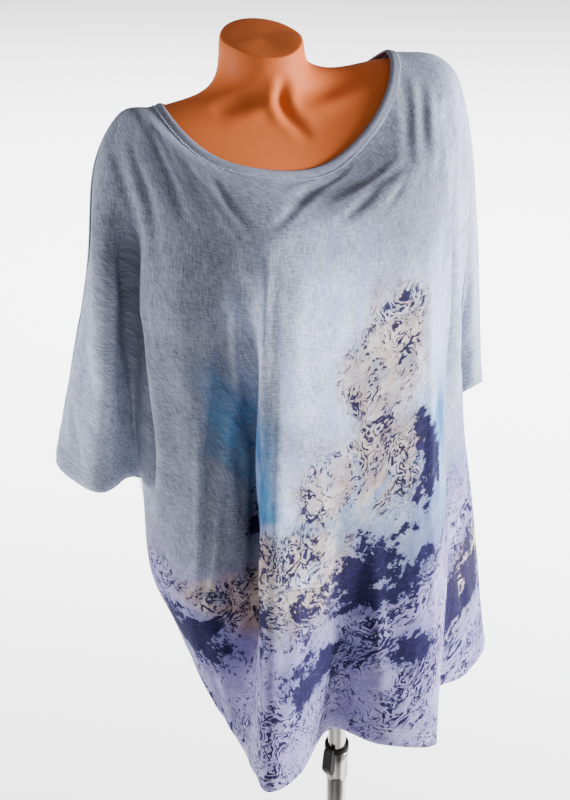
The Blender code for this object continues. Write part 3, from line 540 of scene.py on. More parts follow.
class Panel:
    """One panel of the shirt as columns of points, from the neck seam down.

    side is -1 for the front and 1 for the back. The sleeves' columns end at the underarm and the
    body's, from first to last, go on to the hem.
    """

    def __init__(self, folds, other_folds, side, form):
        table = [dict(zip(FOLD_COLUMNS, row)) for row in folds]
        other = [dict(zip(FOLD_COLUMNS, row)) for row in other_folds]
        spans = [row["columns"] * FINENESS for row in table[:-1]]
        angles = curve_through([(row["angle"],) for row in table], spans)[:, 0]
        body = [i for i, row in enumerate(table) if row["hem"] is not None]
        self.side = side
        self.first, self.last = sum(spans[: body[0]]), sum(spans[: body[-1]])
        levels = {name: level_curve(table, other, name, spans) for name in FOLD_COLUMNS[3:]}
        levels["shoulder"] = [shoulder_point(angle) for angle in angles]
        self.columns = [self.column(k, angle, len(angles), levels, form) for k, angle in enumerate(angles)]
        self.index_points()

    def column(self, k, angle, count, levels, form):
        """Points of one column, down through its place on each level."""
        path, rows = [drop_on(form, *neckline_plan(angle, 0))[0] + neck_lift(angle)], []
        on_body = self.first <= k <= self.last
        for name, steps in LEVEL_ROWS.items():
            if name in ("hip", "hem") and not on_body:
                continue
            at = k - self.first if name in ("hip", "hem") else k
            path.append(Vector(levels[name][at]))
            rows.append(steps * FINENESS)
        at_side = k in (self.first, self.last)
        seam_from = 0 if k in (0, count - 1) else UNDERARM if at_side else len(path)
        for i in range(seam_from, len(path)):
            path[i] = path[i] + Vector((0, self.side * SEAM_GAP / 2, 0))
        if at_side:
            upper = curve_through(path[: UNDERARM + 1], rows[:UNDERARM])
            lower = curve_through(path[UNDERARM:], rows[UNDERARM:])
            return np.concatenate([upper[:-1], lower])
        return curve_through(path, rows)

    def index_points(self):
        """Numbers the points and lists the faces and the pairs of neighbours."""
        self.start = np.cumsum([0] + [len(c) for c in self.columns])
        self.points = np.concatenate(self.columns)
        faces = []
        for k in range(len(self.columns) - 1):
            a, b = self.start[k], self.start[k + 1]
            rows = np.arange(min(len(self.columns[k]), len(self.columns[k + 1])) - 1)
            faces.append(np.stack([a + rows, a + rows + 1, b + rows + 1, b + rows], axis=1))
        self.faces = np.concatenate(faces)
        edges = np.concatenate([self.faces[:, [i, (i + 1) % 4]] for i in range(4)])
        edges = np.sort(edges, axis=1)
        self.edges, counts = np.unique(edges, axis=0, return_counts=True)
        self.rim = np.zeros(len(self.points), bool)
        self.rim[self.edges[counts == 1].ravel()] = True

    def normals(self):
        """Outward normals of the points."""
        p = self.points
        a, b, c, d = (p[self.faces[:, i]] for i in range(4))
        across = np.cross(c - a, d - b)
        total = np.zeros_like(p)
        for i in range(4):
            np.add.at(total, self.faces[:, i], across)
        return total / np.maximum(np.linalg.norm(total, axis=1), 1e-12)[:, None]

    def smooth(self, rounds):
        """Evens the surface out: each point goes half way to its neighbours' middle. The rim stays."""
        for _ in range(rounds):
            total = np.zeros_like(self.points)
            count = np.zeros(len(self.points))
            for i, j in ((0, 1), (1, 0)):
                np.add.at(total, self.edges[:, i], self.points[self.edges[:, j]])
                np.add.at(count, self.edges[:, i], 1)
            moved = self.points + 0.5 * (total / count[:, None] - self.points)
            self.points = np.where(self.rim[:, None], self.points, moved)

    def keep_off(self, form, gap):
        """Pushes points out to the gap above the dress form."""
        for i in np.nonzero(self.points[:, 2] > FORM_FOOT_Z)[0]:
            place, normal, _, _ = form.find_nearest(Vector(self.points[i]), NEAR_FORM)
            if place is None:
                continue
            height = (Vector(self.points[i]) - place).dot(normal)
            if height < gap:
                self.points[i] = place + normal * gap

    def measure(self):
        """Metric coordinates on the cloth: across from the middle column, and down from the neck seam."""
        across = np.zeros(len(self.points))
        down = np.zeros(len(self.points))
        middle = (self.first + self.last) // 2
        for k in range(len(self.columns)):
            rows = slice(self.start[k], self.start[k + 1])
            down[rows] = lengths_along(self.points[rows])
        for order in (range(middle + 1, len(self.columns)), range(middle - 1, -1, -1)):
            for k in order:
                back = k - 1 if k > middle else k + 1
                rows = np.arange(min(len(self.columns[k]), len(self.columns[back])))
                here, there = self.start[k] + rows, self.start[back] + rows
                step = np.linalg.norm(self.points[here] - self.points[there], axis=1)
                across[here] = across[there] + (step if k > middle else -step)
        return across, down

    def line(self, distance, columns, from_neck=False):
        """Points and normals along the cloth, at a distance from its lower edge or from the neck seam."""
        normals = self.normals()
        places, outward = [], []
        for k in columns:
            rows = np.arange(self.start[k], self.start[k + 1])
            if not from_neck:
                rows = rows[::-1]
            length = lengths_along(self.points[rows])
            places.append(places_along(distance, length, self.points[rows]))
            outward.append(places_along(distance, length, normals[rows]))
        return np.array(places), np.array(outward)


def crease_heights(places, creases):
    """How far soft troughs and ridges along the creases' lines move each place."""
    moved = np.zeros(len(places))
    for name, width, height, *points in creases:
        line = curve_through(points, [CREASE_STEPS] * (len(points) - 1))
        best = np.full(len(places), np.inf)
        along = np.zeros(len(places))
        for i, (start, end) in enumerate(zip(line[:-1], line[1:])):
            step = end - start
            t = np.clip(((places - start) @ step) / (step @ step), 0, 1)
            gap = np.linalg.norm(places - start - t[:, None] * step, axis=1)
            closer = gap < best
            best = np.where(closer, gap, best)
            along = np.where(closer, (i + t) / (len(line) - 1), along)
        fade = np.clip(np.sin(np.pi * along), 0, 1) ** CREASE_FADE
        banks = np.exp(-((best / width - BANK_PLACE) ** 2))
        moved += height * fade * (np.exp(-((best / width) ** 2)) - BANK_SHARE * banks)
    return moved


def apply_ripples(panel, across, down):
    """Small uneven waves that hang down the cloth, weakest where it lies on the form."""
    normals = panel.normals()
    for i, place in enumerate(panel.points):
        loose = min(1.0, max(LEAST_RIPPLE, (LOOSE_FROM - place[2]) / LOOSE_SPAN))
        wave = 0.0
        for (width, length, height), seed in ((LONG_RIPPLE, 3.0), (SHORT_RIPPLE, 7.0)):
            wave += height * noise.noise(Vector((across[i] / width, down[i] / length, panel.side * seed)))
        panel.points[i] = place + normals[i] * loose * wave


def shape_edges(panel):
    """The turned hem's second layer, the groove of its stitches and the dip of the seams."""
    normals = panel.normals()
    raised = np.zeros(len(panel.points))
    for k in range(len(panel.columns)):
        rows = np.arange(panel.start[k], panel.start[k + 1])[::-1]
        length = lengths_along(panel.points[rows])
        layer = HEM_RISE / (1 + np.exp((length - HEM_DEPTH) / HEM_SOFTNESS))
        groove = np.exp(-(((length - HEM_DEPTH + HEM_GROOVE) / HEM_GROOVE_WIDTH) ** 2))
        raised[rows] += layer - HEM_RISE * groove
    dip = np.zeros(len(panel.points))
    for columns, seam_from in (
        ((0, len(panel.columns) - 1), 0), ((panel.first, panel.last), ROWS_TO_UNDERARM),
    ):
        for k in columns:
            dip[panel.start[k] + seam_from : panel.start[k + 1]] = SEAM_DIP
    panel.points = panel.points + normals * (raised - dip)[:, None]


def new_piece(name, points, faces, edges=()):
    """An object with a smooth mesh, in the scene."""
    mesh = bpy.data.meshes.new(name)
    mesh.from_pydata([tuple(p) for p in points], edges, faces)
    mesh.shade_smooth()
    item = bpy.data.objects.new(name, mesh)
    bpy.context.scene.collection.objects.link(item)
    return item


def make_panel(name, folds, other_folds, side, creases, form):
    """One panel with its creases, hems and seams, as a wall of cloth whose UV map is its own metres."""
    panel = Panel(folds, other_folds, side, form)
    panel.points = panel.points + panel.normals() * WALL_OF_SOLID
    panel.smooth(ROUNDS_BEFORE_CREASES)
    across, down = panel.measure()
    heights = crease_heights(np.stack([across, down], axis=1), creases)
    panel.points = panel.points + panel.normals() * heights[:, None]
    apply_ripples(panel, across, down)
    panel.keep_off(form, CLOTH_ABOVE_FORM)
    panel.smooth(ROUNDS_AFTER_CREASES)
    panel.keep_off(form, CLOTH_ABOVE_FORM)
    shape_edges(panel)
    sheet = new_piece(name, panel.points.tolist(), panel.faces.tolist())
    corners = panel.faces.ravel()
    weave = sheet.data.uv_layers.new(name="weave")
    weave.data.foreach_set("uv", np.stack([across[corners], -down[corners]], axis=1).ravel())
    wall = sheet.modifiers.new("wall", "SOLIDIFY")
    wall.thickness = bpy.context.scene.shirt_cloth.wall
    wall.offset = -1.0
    return sheet, panel


def sideways(places, outward):
    """Unit directions across a line of thread that lies on the cloth."""
    along = np.gradient(places, axis=0)
    along /= np.maximum(np.linalg.norm(along, axis=1), 1e-12)[:, None]
    across = np.cross(along, outward)
    return across / np.maximum(np.linalg.norm(across, axis=1), 1e-12)[:, None]


def stitch_row(places, outward, pitch, thread):
    """Points and faces of a row of stitches: each is a short thread that dips in at both ends."""
    length = lengths_along(places)
    spots, lifts, sizes = (np.array(column) for column in zip(*STITCH_RINGS))
    radius, sides, rings = thread / 2, THREAD_SIDES, len(STITCH_RINGS)
    turns = [math.tau * step / sides for step in range(sides)]
    points, faces = [], []
    for middle in np.arange(pitch / 2, length[-1] - pitch / 2, pitch):
        line = places_along(middle + spots * pitch, length, places)
        up = places_along(middle + spots * pitch, length, outward)
        side = sideways(line, up)
        line = line + up * (lifts * radius)[:, None]
        base = len(points)
        for ring, size in enumerate(sizes * radius):
            for turn in turns:
                points.append(line[ring] + size * (math.cos(turn) * up[ring] + math.sin(turn) * side[ring]))
        for a in range(base, base + sides * (rings - 1), sides):
            for i in range(sides):
                j = (i + 1) % sides
                faces.append((a + i, a + sides + i, a + sides + j, a + j))
        faces.append(tuple(base + i for i in range(sides)))
        faces.append(tuple(base + sides * rings - 1 - i for i in range(sides)))
    return points, faces


def join_rows(name, rows):
    """One piece made of many rows of thread."""
    points, faces = [], []
    for row_points, row_faces in rows:
        offset = len(points)
        points += row_points
        faces += [tuple(offset + i for i in face) for face in row_faces]
    return new_piece(name, points, faces)


def turned(name, profile, height):
    """A solid turned about the pole's line. profile is (radius, height) pairs, down its outer side."""
    count = len(profile)
    edges = [(i, i + 1) for i in range(count - 1)]
    if profile[0][0] > 0:
        edges.append((count - 1, 0))
    item = new_piece(name, [(radius, 0, z + height) for radius, z in profile], [], edges)
    turn = item.modifiers.new("turned", "SCREW")
    turn.axis = "Z"
    turn.angle = math.tau
    turn.steps = turn.render_steps = POLE_SIDES
    turn.use_merge_vertices = True
    turn.merge_threshold = 0.00001
    return item


def sloping_ring(name, profile, height):
    """A turned ring whose upper edges slope down to its low side."""
    count, total = len(profile), len(profile) * POLE_SIDES
    points = []
    for i in range(POLE_SIDES):
        around = math.tau * i / POLE_SIDES
        fall = COLLAR_SLOPE * (1 + math.cos(around)) / 2
        turn = around + math.radians(COLLAR_TURN)
        for radius, z in profile:
            level = z - fall if z > profile[0][1] / 2 else z
            points.append((radius * math.sin(turn), -radius * math.cos(turn), level + height))
    faces = [
        (i + j, i + (j + 1) % count, (i + count) % total + (j + 1) % count, (i + count) % total + j)
        for i in range(0, total, count) for j in range(count)
    ]
    return new_piece(name, points, faces)


def finish(item, made, body, node):
    """Gives a piece its material and its body, and hides the solid that it stands for."""
    item.data.materials.append(made)
    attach(item, body)
    if node:
        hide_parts(node)


class Nodes:
    """Builds a material's nodes one after another."""

    def __init__(self, name):
        self.material = bpy.data.materials.new(name)
        self.material.use_nodes = True
        self.tree = self.material.node_tree
        self.shader = self.tree.nodes["Principled BSDF"]

    def add(self, kind, inputs=None, **settings):
        made = self.tree.nodes.new(kind)
        for key, value in settings.items():
            setattr(made, key, value)
        for key, value in (inputs or {}).items():
            self.feed(made.inputs[key], value)
        return made

    def feed(self, socket, value):
        if isinstance(value, bpy.types.NodeSocket):
            self.tree.links.new(value, socket)
        else:
            socket.default_value = value

    def set(self, **values):
        for key, value in values.items():
            self.feed(self.shader.inputs[key.replace("_", " ")], value)

    def math(self, operation, a, b=0.0):
        return self.add("ShaderNodeMath", {0: a, 1: b}, operation=operation).outputs[0]

    def vector(self, operation, a, b):
        return self.add("ShaderNodeVectorMath", {0: a, 1: b}, operation=operation).outputs[0]

    def place(self):
        """Where a point is on the object, in metres."""
        return self.add("ShaderNodeTexCoord").outputs["Object"]

    def stretch(self, vector, scale, location=(0, 0, 0)):
        return self.add(
            "ShaderNodeMapping", {"Vector": vector, "Scale": scale, "Location": location}
        ).outputs[0]

    def noise_node(self, vector, scale, detail, roughness, distortion):
        return self.add("ShaderNodeTexNoise", {
            "Vector": vector, "Scale": scale, "Detail": detail, "Roughness": roughness,
            "Distortion": distortion,
        })

    def noise(self, vector, scale, detail=3.0, roughness=0.5, distortion=0.0):
        return self.noise_node(vector, scale, detail, roughness, distortion).outputs["Fac"]

    def noise_colour(self, vector, scale, detail=3.0, roughness=0.5):
        return self.noise_node(vector, scale, detail, roughness, 0.0).outputs["Color"]

    def ramp(self, factor, *stops):
        """Runs through numbers or colours, each at its place along the factor."""
        made = self.add("ShaderNodeValToRGB", {"Fac": factor})
        elements = made.color_ramp.elements
        while len(elements) < len(stops):
            elements.new(0.5)
        for element, (position, value) in zip(elements, stops):
            element.position = position
            element.color = (*value, 1.0) if isinstance(value, tuple) else (value, value, value, 1.0)
        return made.outputs[0]

    def step(self, value, start, end):
        """Runs smoothly from 0 at start to 1 at end."""
        return self.add(
            "ShaderNodeMapRange", {"Value": value, "From Min": start, "From Max": end},
            interpolation_type="SMOOTHSTEP",
        ).outputs[0]

    def mix(self, factor, a, b, blend="MIX"):
        made = self.add("ShaderNodeMix", data_type="RGBA", blend_type=blend, clamp_factor=True)
        self.feed(made.inputs["Factor"], factor)
        for socket, value in ((made.inputs[6], a), (made.inputs[7], b)):
            self.feed(socket, (*value, 1.0) if isinstance(value, tuple) else value)
        return made.outputs[2]

    def bump(self, height, distance, strength):
        return self.add(
            "ShaderNodeBump", {"Height": height, "Distance": distance, "Strength": strength}
        ).outputs[0]


def weave_height(made, cloth):
    """Height of fine knitted yarns that run thick and thin both ways."""
    lengthwise = made.noise(made.stretch(cloth, (1500, 260, 1)), 1.0, 1.0)
    crosswise = made.noise(made.stretch(cloth, (260, 1300, 1)), 1.0, 1.0)
    return made.math("ADD", lengthwise, crosswise)


def melange(made, cloth, dark, light):
    """Blue-grey yarn-dyed cloth: dark and light threads with slubs both ways."""
    long_slub = made.noise(made.stretch(cloth, (620, 85, 1)), 1.0, 1.0)
    cross_slub = made.noise(made.stretch(cloth, (110, 620, 1)), 1.0, 1.0)
    blotch = made.noise(cloth, 30.0, 2.0, 0.5)
    threads = made.math("MULTIPLY", made.math("ADD", long_slub, cross_slub), 0.5)
    amount = made.math("ADD", made.math("MULTIPLY", threads, 0.8), made.math("MULTIPLY", blotch, 0.2))
    return made.ramp(amount, (0.30, dark), (0.70, light)), amount


def jersey(name, side=None):
    """The shirt's cloth, with the print of its side where it has one and painted light on its sleeves."""
    sizes = bpy.context.scene.shirt_cloth
    made = Nodes(name)
    cloth = made.add("ShaderNodeUVMap", uv_map="weave").outputs[0]
    colour, threads = melange(made, cloth, tuple(sizes.dark_yarn), tuple(sizes.light_yarn))
    if side:
        colour = PlacedPrint(made, cloth, threads, side).over(colour)
    made.set(Base_Color=colour, Roughness=0.9, Specular_IOR_Level=0.10)
    made.set(Sheen_Weight=0.03, Sheen_Roughness=0.5)
    made.set(Normal=made.bump(weave_height(made, cloth), 0.00015, 0.35))
    return made.material


def pool(made, cloth, centre, size, soft):
    """Mask of one pool of colour, whose edge wanders with the cloth's place."""
    shifted = made.vector("SUBTRACT", cloth, (*centre, 0.0))
    scaled = made.vector("MULTIPLY", shifted, (1 / size[0], 1 / size[1], 0.0))
    reach = made.add("ShaderNodeVectorMath", {0: scaled}, operation="LENGTH").outputs["Value"]
    return made.step(reach, 1.0 + soft, 1.0 - soft)


def shifted_by(made, place, noise, reach):
    """Moves a place on the cloth by a noise's colour, so that even shapes come out uneven."""
    away = made.vector("SUBTRACT", noise, (0.5, 0.5, 0.5))
    away = made.add("ShaderNodeVectorMath", {0: away, "Scale": reach}, operation="SCALE").outputs[0]
    return made.vector("ADD", place, away)


class PlacedPrint:
    """The print of one side, with painted light on its sleeves: icy and blue washes, veined stone, ink
    clouds and a lilac foot.
    """

    def __init__(self, made, cloth, threads, side):
        self.made, self.cloth, self.threads, self.side = made, cloth, threads, side
        place = made.stretch(cloth, (1, 1, 1), (0.0 if side == "front" else BACK_SHIFT, 0, 0))
        self.place = place
        self.loose = shifted_by(made, cloth, made.noise_colour(place, 8.0, 5.0, 0.6), PRINT_DRIFT)
        self.foot = made.step(made.add("ShaderNodeSeparateXYZ", {0: self.loose}).outputs[1], *PRINT_FOOT)
        self.broken = made.noise(place, 46.0, 5.0, 0.65)
        self.grains = made.noise(place, 20.0, 3.0, 0.6)
        self.fibre = made.noise(place, 150.0, 4.0, 0.7)
        self.torn = made.noise(place, 16.0, 7.0, 0.74, 0.4)
        self.streaks = made.noise(made.stretch(place, (30, 7, 1)), 1.0, 5.0, 0.65, 0.4)
        self.swirled = made.mix(0.12, place, made.noise_colour(place, 7.0, 4.0, 0.6))
        self.stone = made.noise(made.stretch(self.swirled, (1.0, 0.72, 1)), 17.0, 5.0, 0.62, 1.2)
        self.marble = self.pools("marble", self.loose, 0.42)
        self.cloud = self.pools("ink", self.loose, 0.9)

    def pools(self, colour, place, soft):
        """Mask of all the pools of one colour."""
        masks = [pool(self.made, place, centre, size, soft) for kind, side, centre, size in PRINT_POOLS
                 if kind == colour and side == self.side]
        total = masks[0]
        for mask in masks[1:]:
            total = self.made.math("MAXIMUM", total, mask)
        return total

    def washes(self, colour):
        """Painted light on the sleeves, then pale and blue pools and the lilac foot."""
        made = self.made
        pale = made.mix(
            made.math("MULTIPLY", made.step(self.threads, 0.62, 0.37), 0.85), PALE_WASH, PALE_SHADE
        )
        # painted light: the pale melange laid over the sleeves where the side light and the key light fall
        painted_sleeve_light = self.pools("painted_sleeve_light", self.cloth, 0.6)
        colour = made.mix(made.math("MULTIPLY", painted_sleeve_light, 0.70), colour, pale)
        pale = made.mix(made.step(self.streaks, 0.42, 0.66), pale, PALE_BLUE)
        colour = made.mix(self.pools("pale", self.loose, 0.5), colour, pale)
        sky = made.mix(made.step(self.streaks, 0.40, 0.62), SKY_WASH, SKY_DEEP)
        thin = made.noise(made.stretch(self.place, (14, 7, 1)), 1.0, 5.0, 0.65, 0.4)
        thin = made.ramp(thin, (0.36, 0.35), (0.60, 1.0))
        colour = made.mix(made.math("MULTIPLY", self.pools("sky", self.loose, 0.55), thin), colour, sky)
        lilac = made.mix(made.step(self.torn, 0.36, 0.62), LILAC, LILAC_SHADE)
        return made.mix(self.foot, colour, lilac)

    def stones(self, colour):
        """The thin wash round the ink clouds, then the sand-coloured stone."""
        made = self.made
        halo = made.math("MULTIPLY", made.step(self.cloud, 0.10, 0.75), 0.62)
        colour = made.mix(halo, colour, INK_WASH)
        sand = made.mix(made.step(self.torn, 0.38, 0.58), SAND, SAND_SHADE)
        sand = made.mix(made.step(self.grains, 0.50, 0.64), sand, SAND_GREY)
        cover = made.math("MULTIPLY", self.marble, made.ramp(self.stone, (0.36, 0.15), (0.46, 0.95)))
        cover = made.math("MULTIPLY", cover, made.ramp(self.streaks, (0.36, 0.55), (0.52, 1.0)))
        return made.mix(cover, colour, sand)

    def veins(self):
        """Ink lines along the stone's levels: thick where the load is high, and broken up elsewhere."""
        made = self.made
        load = made.step(made.noise(self.place, 13.0, 4.0, 0.6), 0.36, 0.66)
        lines = None
        for level, width in STONE_VEINS:
            line = made.math("ABSOLUTE", made.math("SUBTRACT", self.stone, level))
            line = made.math("ADD", line, made.math("MULTIPLY", self.broken, VEIN_BREAKS))
            line = made.math("SUBTRACT", line, made.math("MULTIPLY", load, width * VEIN_GROWTH))
            line = made.step(line, 0.010, 0.001)
            lines = line if lines is None else made.math("MAXIMUM", lines, line)
        lines = made.math("MULTIPLY", lines, made.step(self.broken, 0.34, 0.44))
        on_foot = made.math("MULTIPLY", self.foot, made.step(self.grains, 0.32, 0.46))
        zone = made.math("MAXIMUM", self.marble, on_foot)
        return made.math("MULTIPLY", lines, made.step(zone, 0.25, 0.7))

    def specks(self):
        """Fine spots of ink on the stone and the foot."""
        made = self.made
        cells = made.add("ShaderNodeTexVoronoi", {"Vector": self.swirled, "Scale": 190.0})
        spots = made.step(cells.outputs["Distance"], 0.42, 0.32)
        spots = made.math("MULTIPLY", spots, made.step(self.grains, 0.47, 0.57))
        zone = made.math("MAXIMUM", self.marble, made.math("MULTIPLY", self.foot, 0.8))
        return made.math("MULTIPLY", spots, zone)

    def clouds(self):
        """Dark pools of ink with frayed edges."""
        made = self.made
        frayed = made.math("MULTIPLY", self.torn, 2.6)
        for noise, share in ((self.broken, 1.7), (self.fibre, 0.7)):
            frayed = made.math("ADD", frayed, made.math("MULTIPLY", noise, share))
        return made.step(made.math("ADD", self.cloud, made.math("SUBTRACT", frayed, 2.50)), 0.62, 0.72)

    def over(self, ground):
        """The print's colour and the sleeves' painted light on the cloth, worn off along the lighter
        threads.
        """
        made = self.made
        colour = self.stones(self.washes(ground))
        ink = made.math("MAXIMUM", self.veins(), self.specks())
        ink = made.math("MAXIMUM", ink, self.clouds())
        deep = made.mix(made.step(self.fibre, 0.40, 0.62), NAVY, INK_VIOLET)
        colour = made.mix(made.math("MULTIPLY", ink, 0.97), colour, deep)
        return made.mix(1.0, colour, made.ramp(self.threads, (0.34, 0.72), (0.60, 1.0)), "MULTIPLY")


def satin_plastic():
    """The form's plastic, a little cloudy and scuffed."""
    base = tuple(bpy.context.scene.shirt_form.plastic)
    made = Nodes("satin_plastic")
    place = made.place()
    cloudy = made.noise(place, 9.0, 3.0, 0.5)
    scuffs = made.noise(made.stretch(place, (40, 40, 260)), 1.0, 4.0, 0.6)
    made.set(Base_Color=made.mix(cloudy, base, tuple(c * 0.86 for c in base)))
    made.set(Roughness=made.ramp(scuffs, (0.3, 0.52), (0.75, 0.62)), Specular_IOR_Level=0.08)
    made.set(Coat_Weight=0.02, Coat_Roughness=0.4)
    made.set(Normal=made.bump(made.noise(place, 700.0, 2.0), 0.00005, 0.35))
    return made.material


def chromed_steel(name):
    """Rubbed chrome, with painted reflections of the room: dark, warm and pale stripes along the pole."""
    made = Nodes(name)
    place = made.place()
    rub = made.noise(made.stretch(place, (260, 260, 9)), 1.0, 4.0, 0.6)
    # painted reflection: stripes along the pole, coloured like a room reflected in chrome
    painted_reflection = made.noise(made.stretch(place, (115, 115, 0.6)), 1.0, 2.0, 0.5)
    reflected_room = made.ramp(painted_reflection, *CHROME_PAINTED_REFLECTIONS)
    made.set(Base_Color=made.mix(made.math("MULTIPLY", rub, 0.3), reflected_room, CHROME_RUBBED), Metallic=1.0)
    made.set(Roughness=made.ramp(rub, (0.3, 0.16), (0.75, 0.32)))
    return made.material


def black_plastic(name):
    """Moulded plastic with a fine grain."""
    made = Nodes(name)
    grain = made.noise(made.place(), 900.0, 3.0, 0.6)
    made.set(Base_Color=made.mix(grain, *BLACK_PLASTIC), Specular_IOR_Level=0.15)
    made.set(Roughness=made.ramp(grain, (0.3, 0.42), (0.7, 0.56)))
    made.set(Normal=made.bump(grain, 0.00012, 0.5))
    return made.material


def painted_steel():
    """Dusty black paint with a slight orange peel."""
    made = Nodes("painted_steel")
    place = made.place()
    dust = made.noise(place, 14.0, 4.0, 0.6)
    made.set(Base_Color=made.mix(dust, *PAINTED_STEEL))
    made.set(Roughness=made.ramp(dust, (0.3, 0.30), (0.7, 0.46)))
    made.set(Normal=made.bump(made.noise(place, 380.0, 2.0), 0.0002, 0.35))
    return made.material


def thread_material():
    """Sewing thread, with painted shade in fine flecks for the grooves between its twisted yarns."""
    made = Nodes("sewing_thread")
    # painted shade: random darker flecks standing in for the shade in the grooves between the yarns
    painted_groove_shade = made.noise(made.place(), 1400.0, 2.0)
    thread = tuple(bpy.context.scene.shirt_cloth.thread)
    made.set(Base_Color=made.mix(painted_groove_shade, thread, tuple(c * 0.78 for c in thread)), Roughness=0.7)
    return made.material


def floor_material():
    made = Nodes("studio_paper")
    made.set(Base_Color=made.mix(made.noise(made.place(), 160.0, 3.0), *STUDIO_PAPER), Roughness=0.9)
    return made.material


class ShirtCloth(bpy.types.PropertyGroup):
    wall: bpy.props.FloatProperty(
        name="Cloth wall", description="Thickness of the jersey", default=0.0010, unit="LENGTH"
    )
    stitch: bpy.props.FloatProperty(
        name="Stitch", description="Length of one stitch", default=0.0031, unit="LENGTH"
    )
    dark_yarn: bpy.props.FloatVectorProperty(
        name="Dark yarn", description="Darker threads of the blue-grey cloth", subtype="COLOR",
        default=(0.140, 0.150, 0.205), min=0, max=1,
    )
    light_yarn: bpy.props.FloatVectorProperty(
        name="Light yarn", description="Lighter threads of the blue-grey cloth", subtype="COLOR",
        default=(0.315, 0.335, 0.435), min=0, max=1,
    )
    thread: bpy.props.FloatVectorProperty(
        name="Thread", description="Colour of the sewing thread", subtype="COLOR",
        default=(0.62, 0.70, 0.80), min=0, max=1,
    )


class ShirtForm(bpy.types.PropertyGroup):
    plastic: bpy.props.FloatVectorProperty(
        name="Plastic", description="Colour of the dress form", subtype="COLOR",
        default=(0.64, 0.142, 0.034), min=0, max=1,
    )


class ShirtStudio(bpy.types.PropertyGroup):
    key_power: bpy.props.FloatProperty(
        name="Key light", description="Power of the key light", default=235.0, unit="POWER"
    )
    side_power: bpy.props.FloatProperty(
        name="Side light", description="Power of the light on the right sleeve", default=84.0, unit="POWER"
    )
    paper_power: bpy.props.FloatProperty(
        name="Paper light", description="Power of each light over the floor", default=280.0, unit="POWER"
    )
    surround: bpy.props.FloatProperty(
        name="Surround", description="Strength of the studio's even light", default=0.38
    )


def form_cage():
    """A cage through the dress form's rings, with a firm edge round its cap."""
    n, last = FORM_SIDES, FORM_SIDES * (len(FORM_RINGS) - 1)
    points = [form_point(ring, 360.0 * i / n) for ring in FORM_RINGS for i in range(n)]
    faces = [
        (r + i, r + n + i, r + n + (i + 1) % n, r + (i + 1) % n)
        for r in range(0, last, n) for i in range(n)
    ]
    cap = len(points)
    points.append(sum(points[:n], Vector()) / n)
    foot = len(points)
    points.append(sum(points[last : last + n], Vector()) / n)
    faces += [(cap, i, (i + 1) % n) for i in range(n)]
    faces += [(foot, last + (i + 1) % n, last + i) for i in range(n)]
    item = new_piece("smooth_dress_form", points, faces)
    firm = item.data.attributes.new("crease_edge", "FLOAT", "EDGE")
    for edge in item.data.edges:
        if all(n <= corner < 2 * n for corner in edge.vertices):
            firm.data[edge.index].value = CAP_EDGE
    return item


def smooth_form():
    """The dress form's surface: its cage subdivided, with the hollows of the throat pressed in."""
    item = form_cage()
    smoothing = item.modifiers.new("smooth", "SUBSURF")
    smoothing.levels = smoothing.render_levels = FORM_SMOOTHING
    graph = bpy.context.evaluated_depsgraph_get()
    mesh = bpy.data.meshes.new_from_object(item.evaluated_get(graph))
    item.modifiers.clear()
    cage, item.data = item.data, mesh
    bpy.data.meshes.remove(cage)
    mesh.name = item.name
    points = np.empty(len(mesh.vertices) * 3)
    normals = np.empty(len(points))
    mesh.vertices.foreach_get("co", points)
    mesh.vertices.foreach_get("normal", normals)
    moved = crease_heights(points.reshape(-1, 3), FORM_CREASES)
    mesh.vertices.foreach_set("co", points + normals * np.repeat(moved, 3))
    mesh.update()
    return item


def form_surface():
    """A search tree of the finished dress form's surface."""
    graph = bpy.context.evaluated_depsgraph_get()
    return BVHTree.FromObject(bpy.data.objects["smooth_dress_form"], graph)


def sewing_rows(panel, pitch):
    """The stitches of one panel: two rows along the hem and each sleeve's, and one by the neck."""
    count = len(panel.columns)
    rows = []
    for columns in (
        range(0, panel.first + 1), range(panel.first, panel.last + 1), range(panel.last, count),
    ):
        for inset in HEM_STITCHES:
            line = panel.line(HEM_DEPTH - inset, columns)
            rows.append(stitch_row(*line, pitch, HEM_THREAD))
    line = panel.line(EDGE_STITCH, range(count), from_neck=True)
    rows.append(stitch_row(*line, pitch, NECK_THREAD))
    return rows


def folded_band(name):
    """The binding's section carried round the neck, with a UV map in its cloth's metres."""
    form = form_surface()
    count, size = BINDING_STEPS, len(BINDING_SECTION)
    points = []
    for i in range(count):
        angle = 360.0 * i / count
        for inset, height in BINDING_SECTION:
            place, normal = drop_on(form, *neckline_plan(angle, inset))
            points.append(place + normal * height + neck_lift(angle))
    faces = []
    for i in range(count):
        a, b = size * i, size * ((i + 1) % count)
        faces += [(a + r, b + r, b + (r + 1) % size, a + (r + 1) % size) for r in range(size)]
    band = new_piece(name, points, faces)
    weave = band.data.uv_layers.new(name="weave")
    for face in band.data.polygons:
        i, r = divmod(face.index, size)
        for loop, (step, rise) in zip(face.loop_indices, ((0, 0), (1, 0), (1, 1), (0, 1))):
            weave.data[loop].uv = ((i + step) * BINDING_LENGTH / count, (r + rise) * BINDING_WEAVE)
    return band


def tube_profile(bore, radius, length):
    """Half section of a tube, or of a rod where the bore is 0, with bevelled outer edges."""
    return [
        (bore, length), (radius - POLE_EDGE, length), (radius, length - POLE_EDGE),
        (radius, POLE_EDGE), (radius - POLE_EDGE, 0), (bore, 0),
    ]


def make_rod_and_tube():
    """The chromed pole: a rod that slides in a tube."""
    rod, tube = ROD_HIGH[0], TUBE_HIGH[0]
    item = turned("chromed_rod", tube_profile(0, rod, ROD_HIGH[2] - ROD_LOW[2]), ROD_LOW[2])
    finish(item, chromed_steel("chrome_of_rod"), "rod", "upper_rod")
    profile = tube_profile(rod + POLE_FIT, tube, TUBE_HIGH[2] - TUBE_LOW[2])
    item = turned("chromed_tube", profile, TUBE_LOW[2])
    finish(item, chromed_steel("chrome_of_tube"), "stand", "lower_tube")


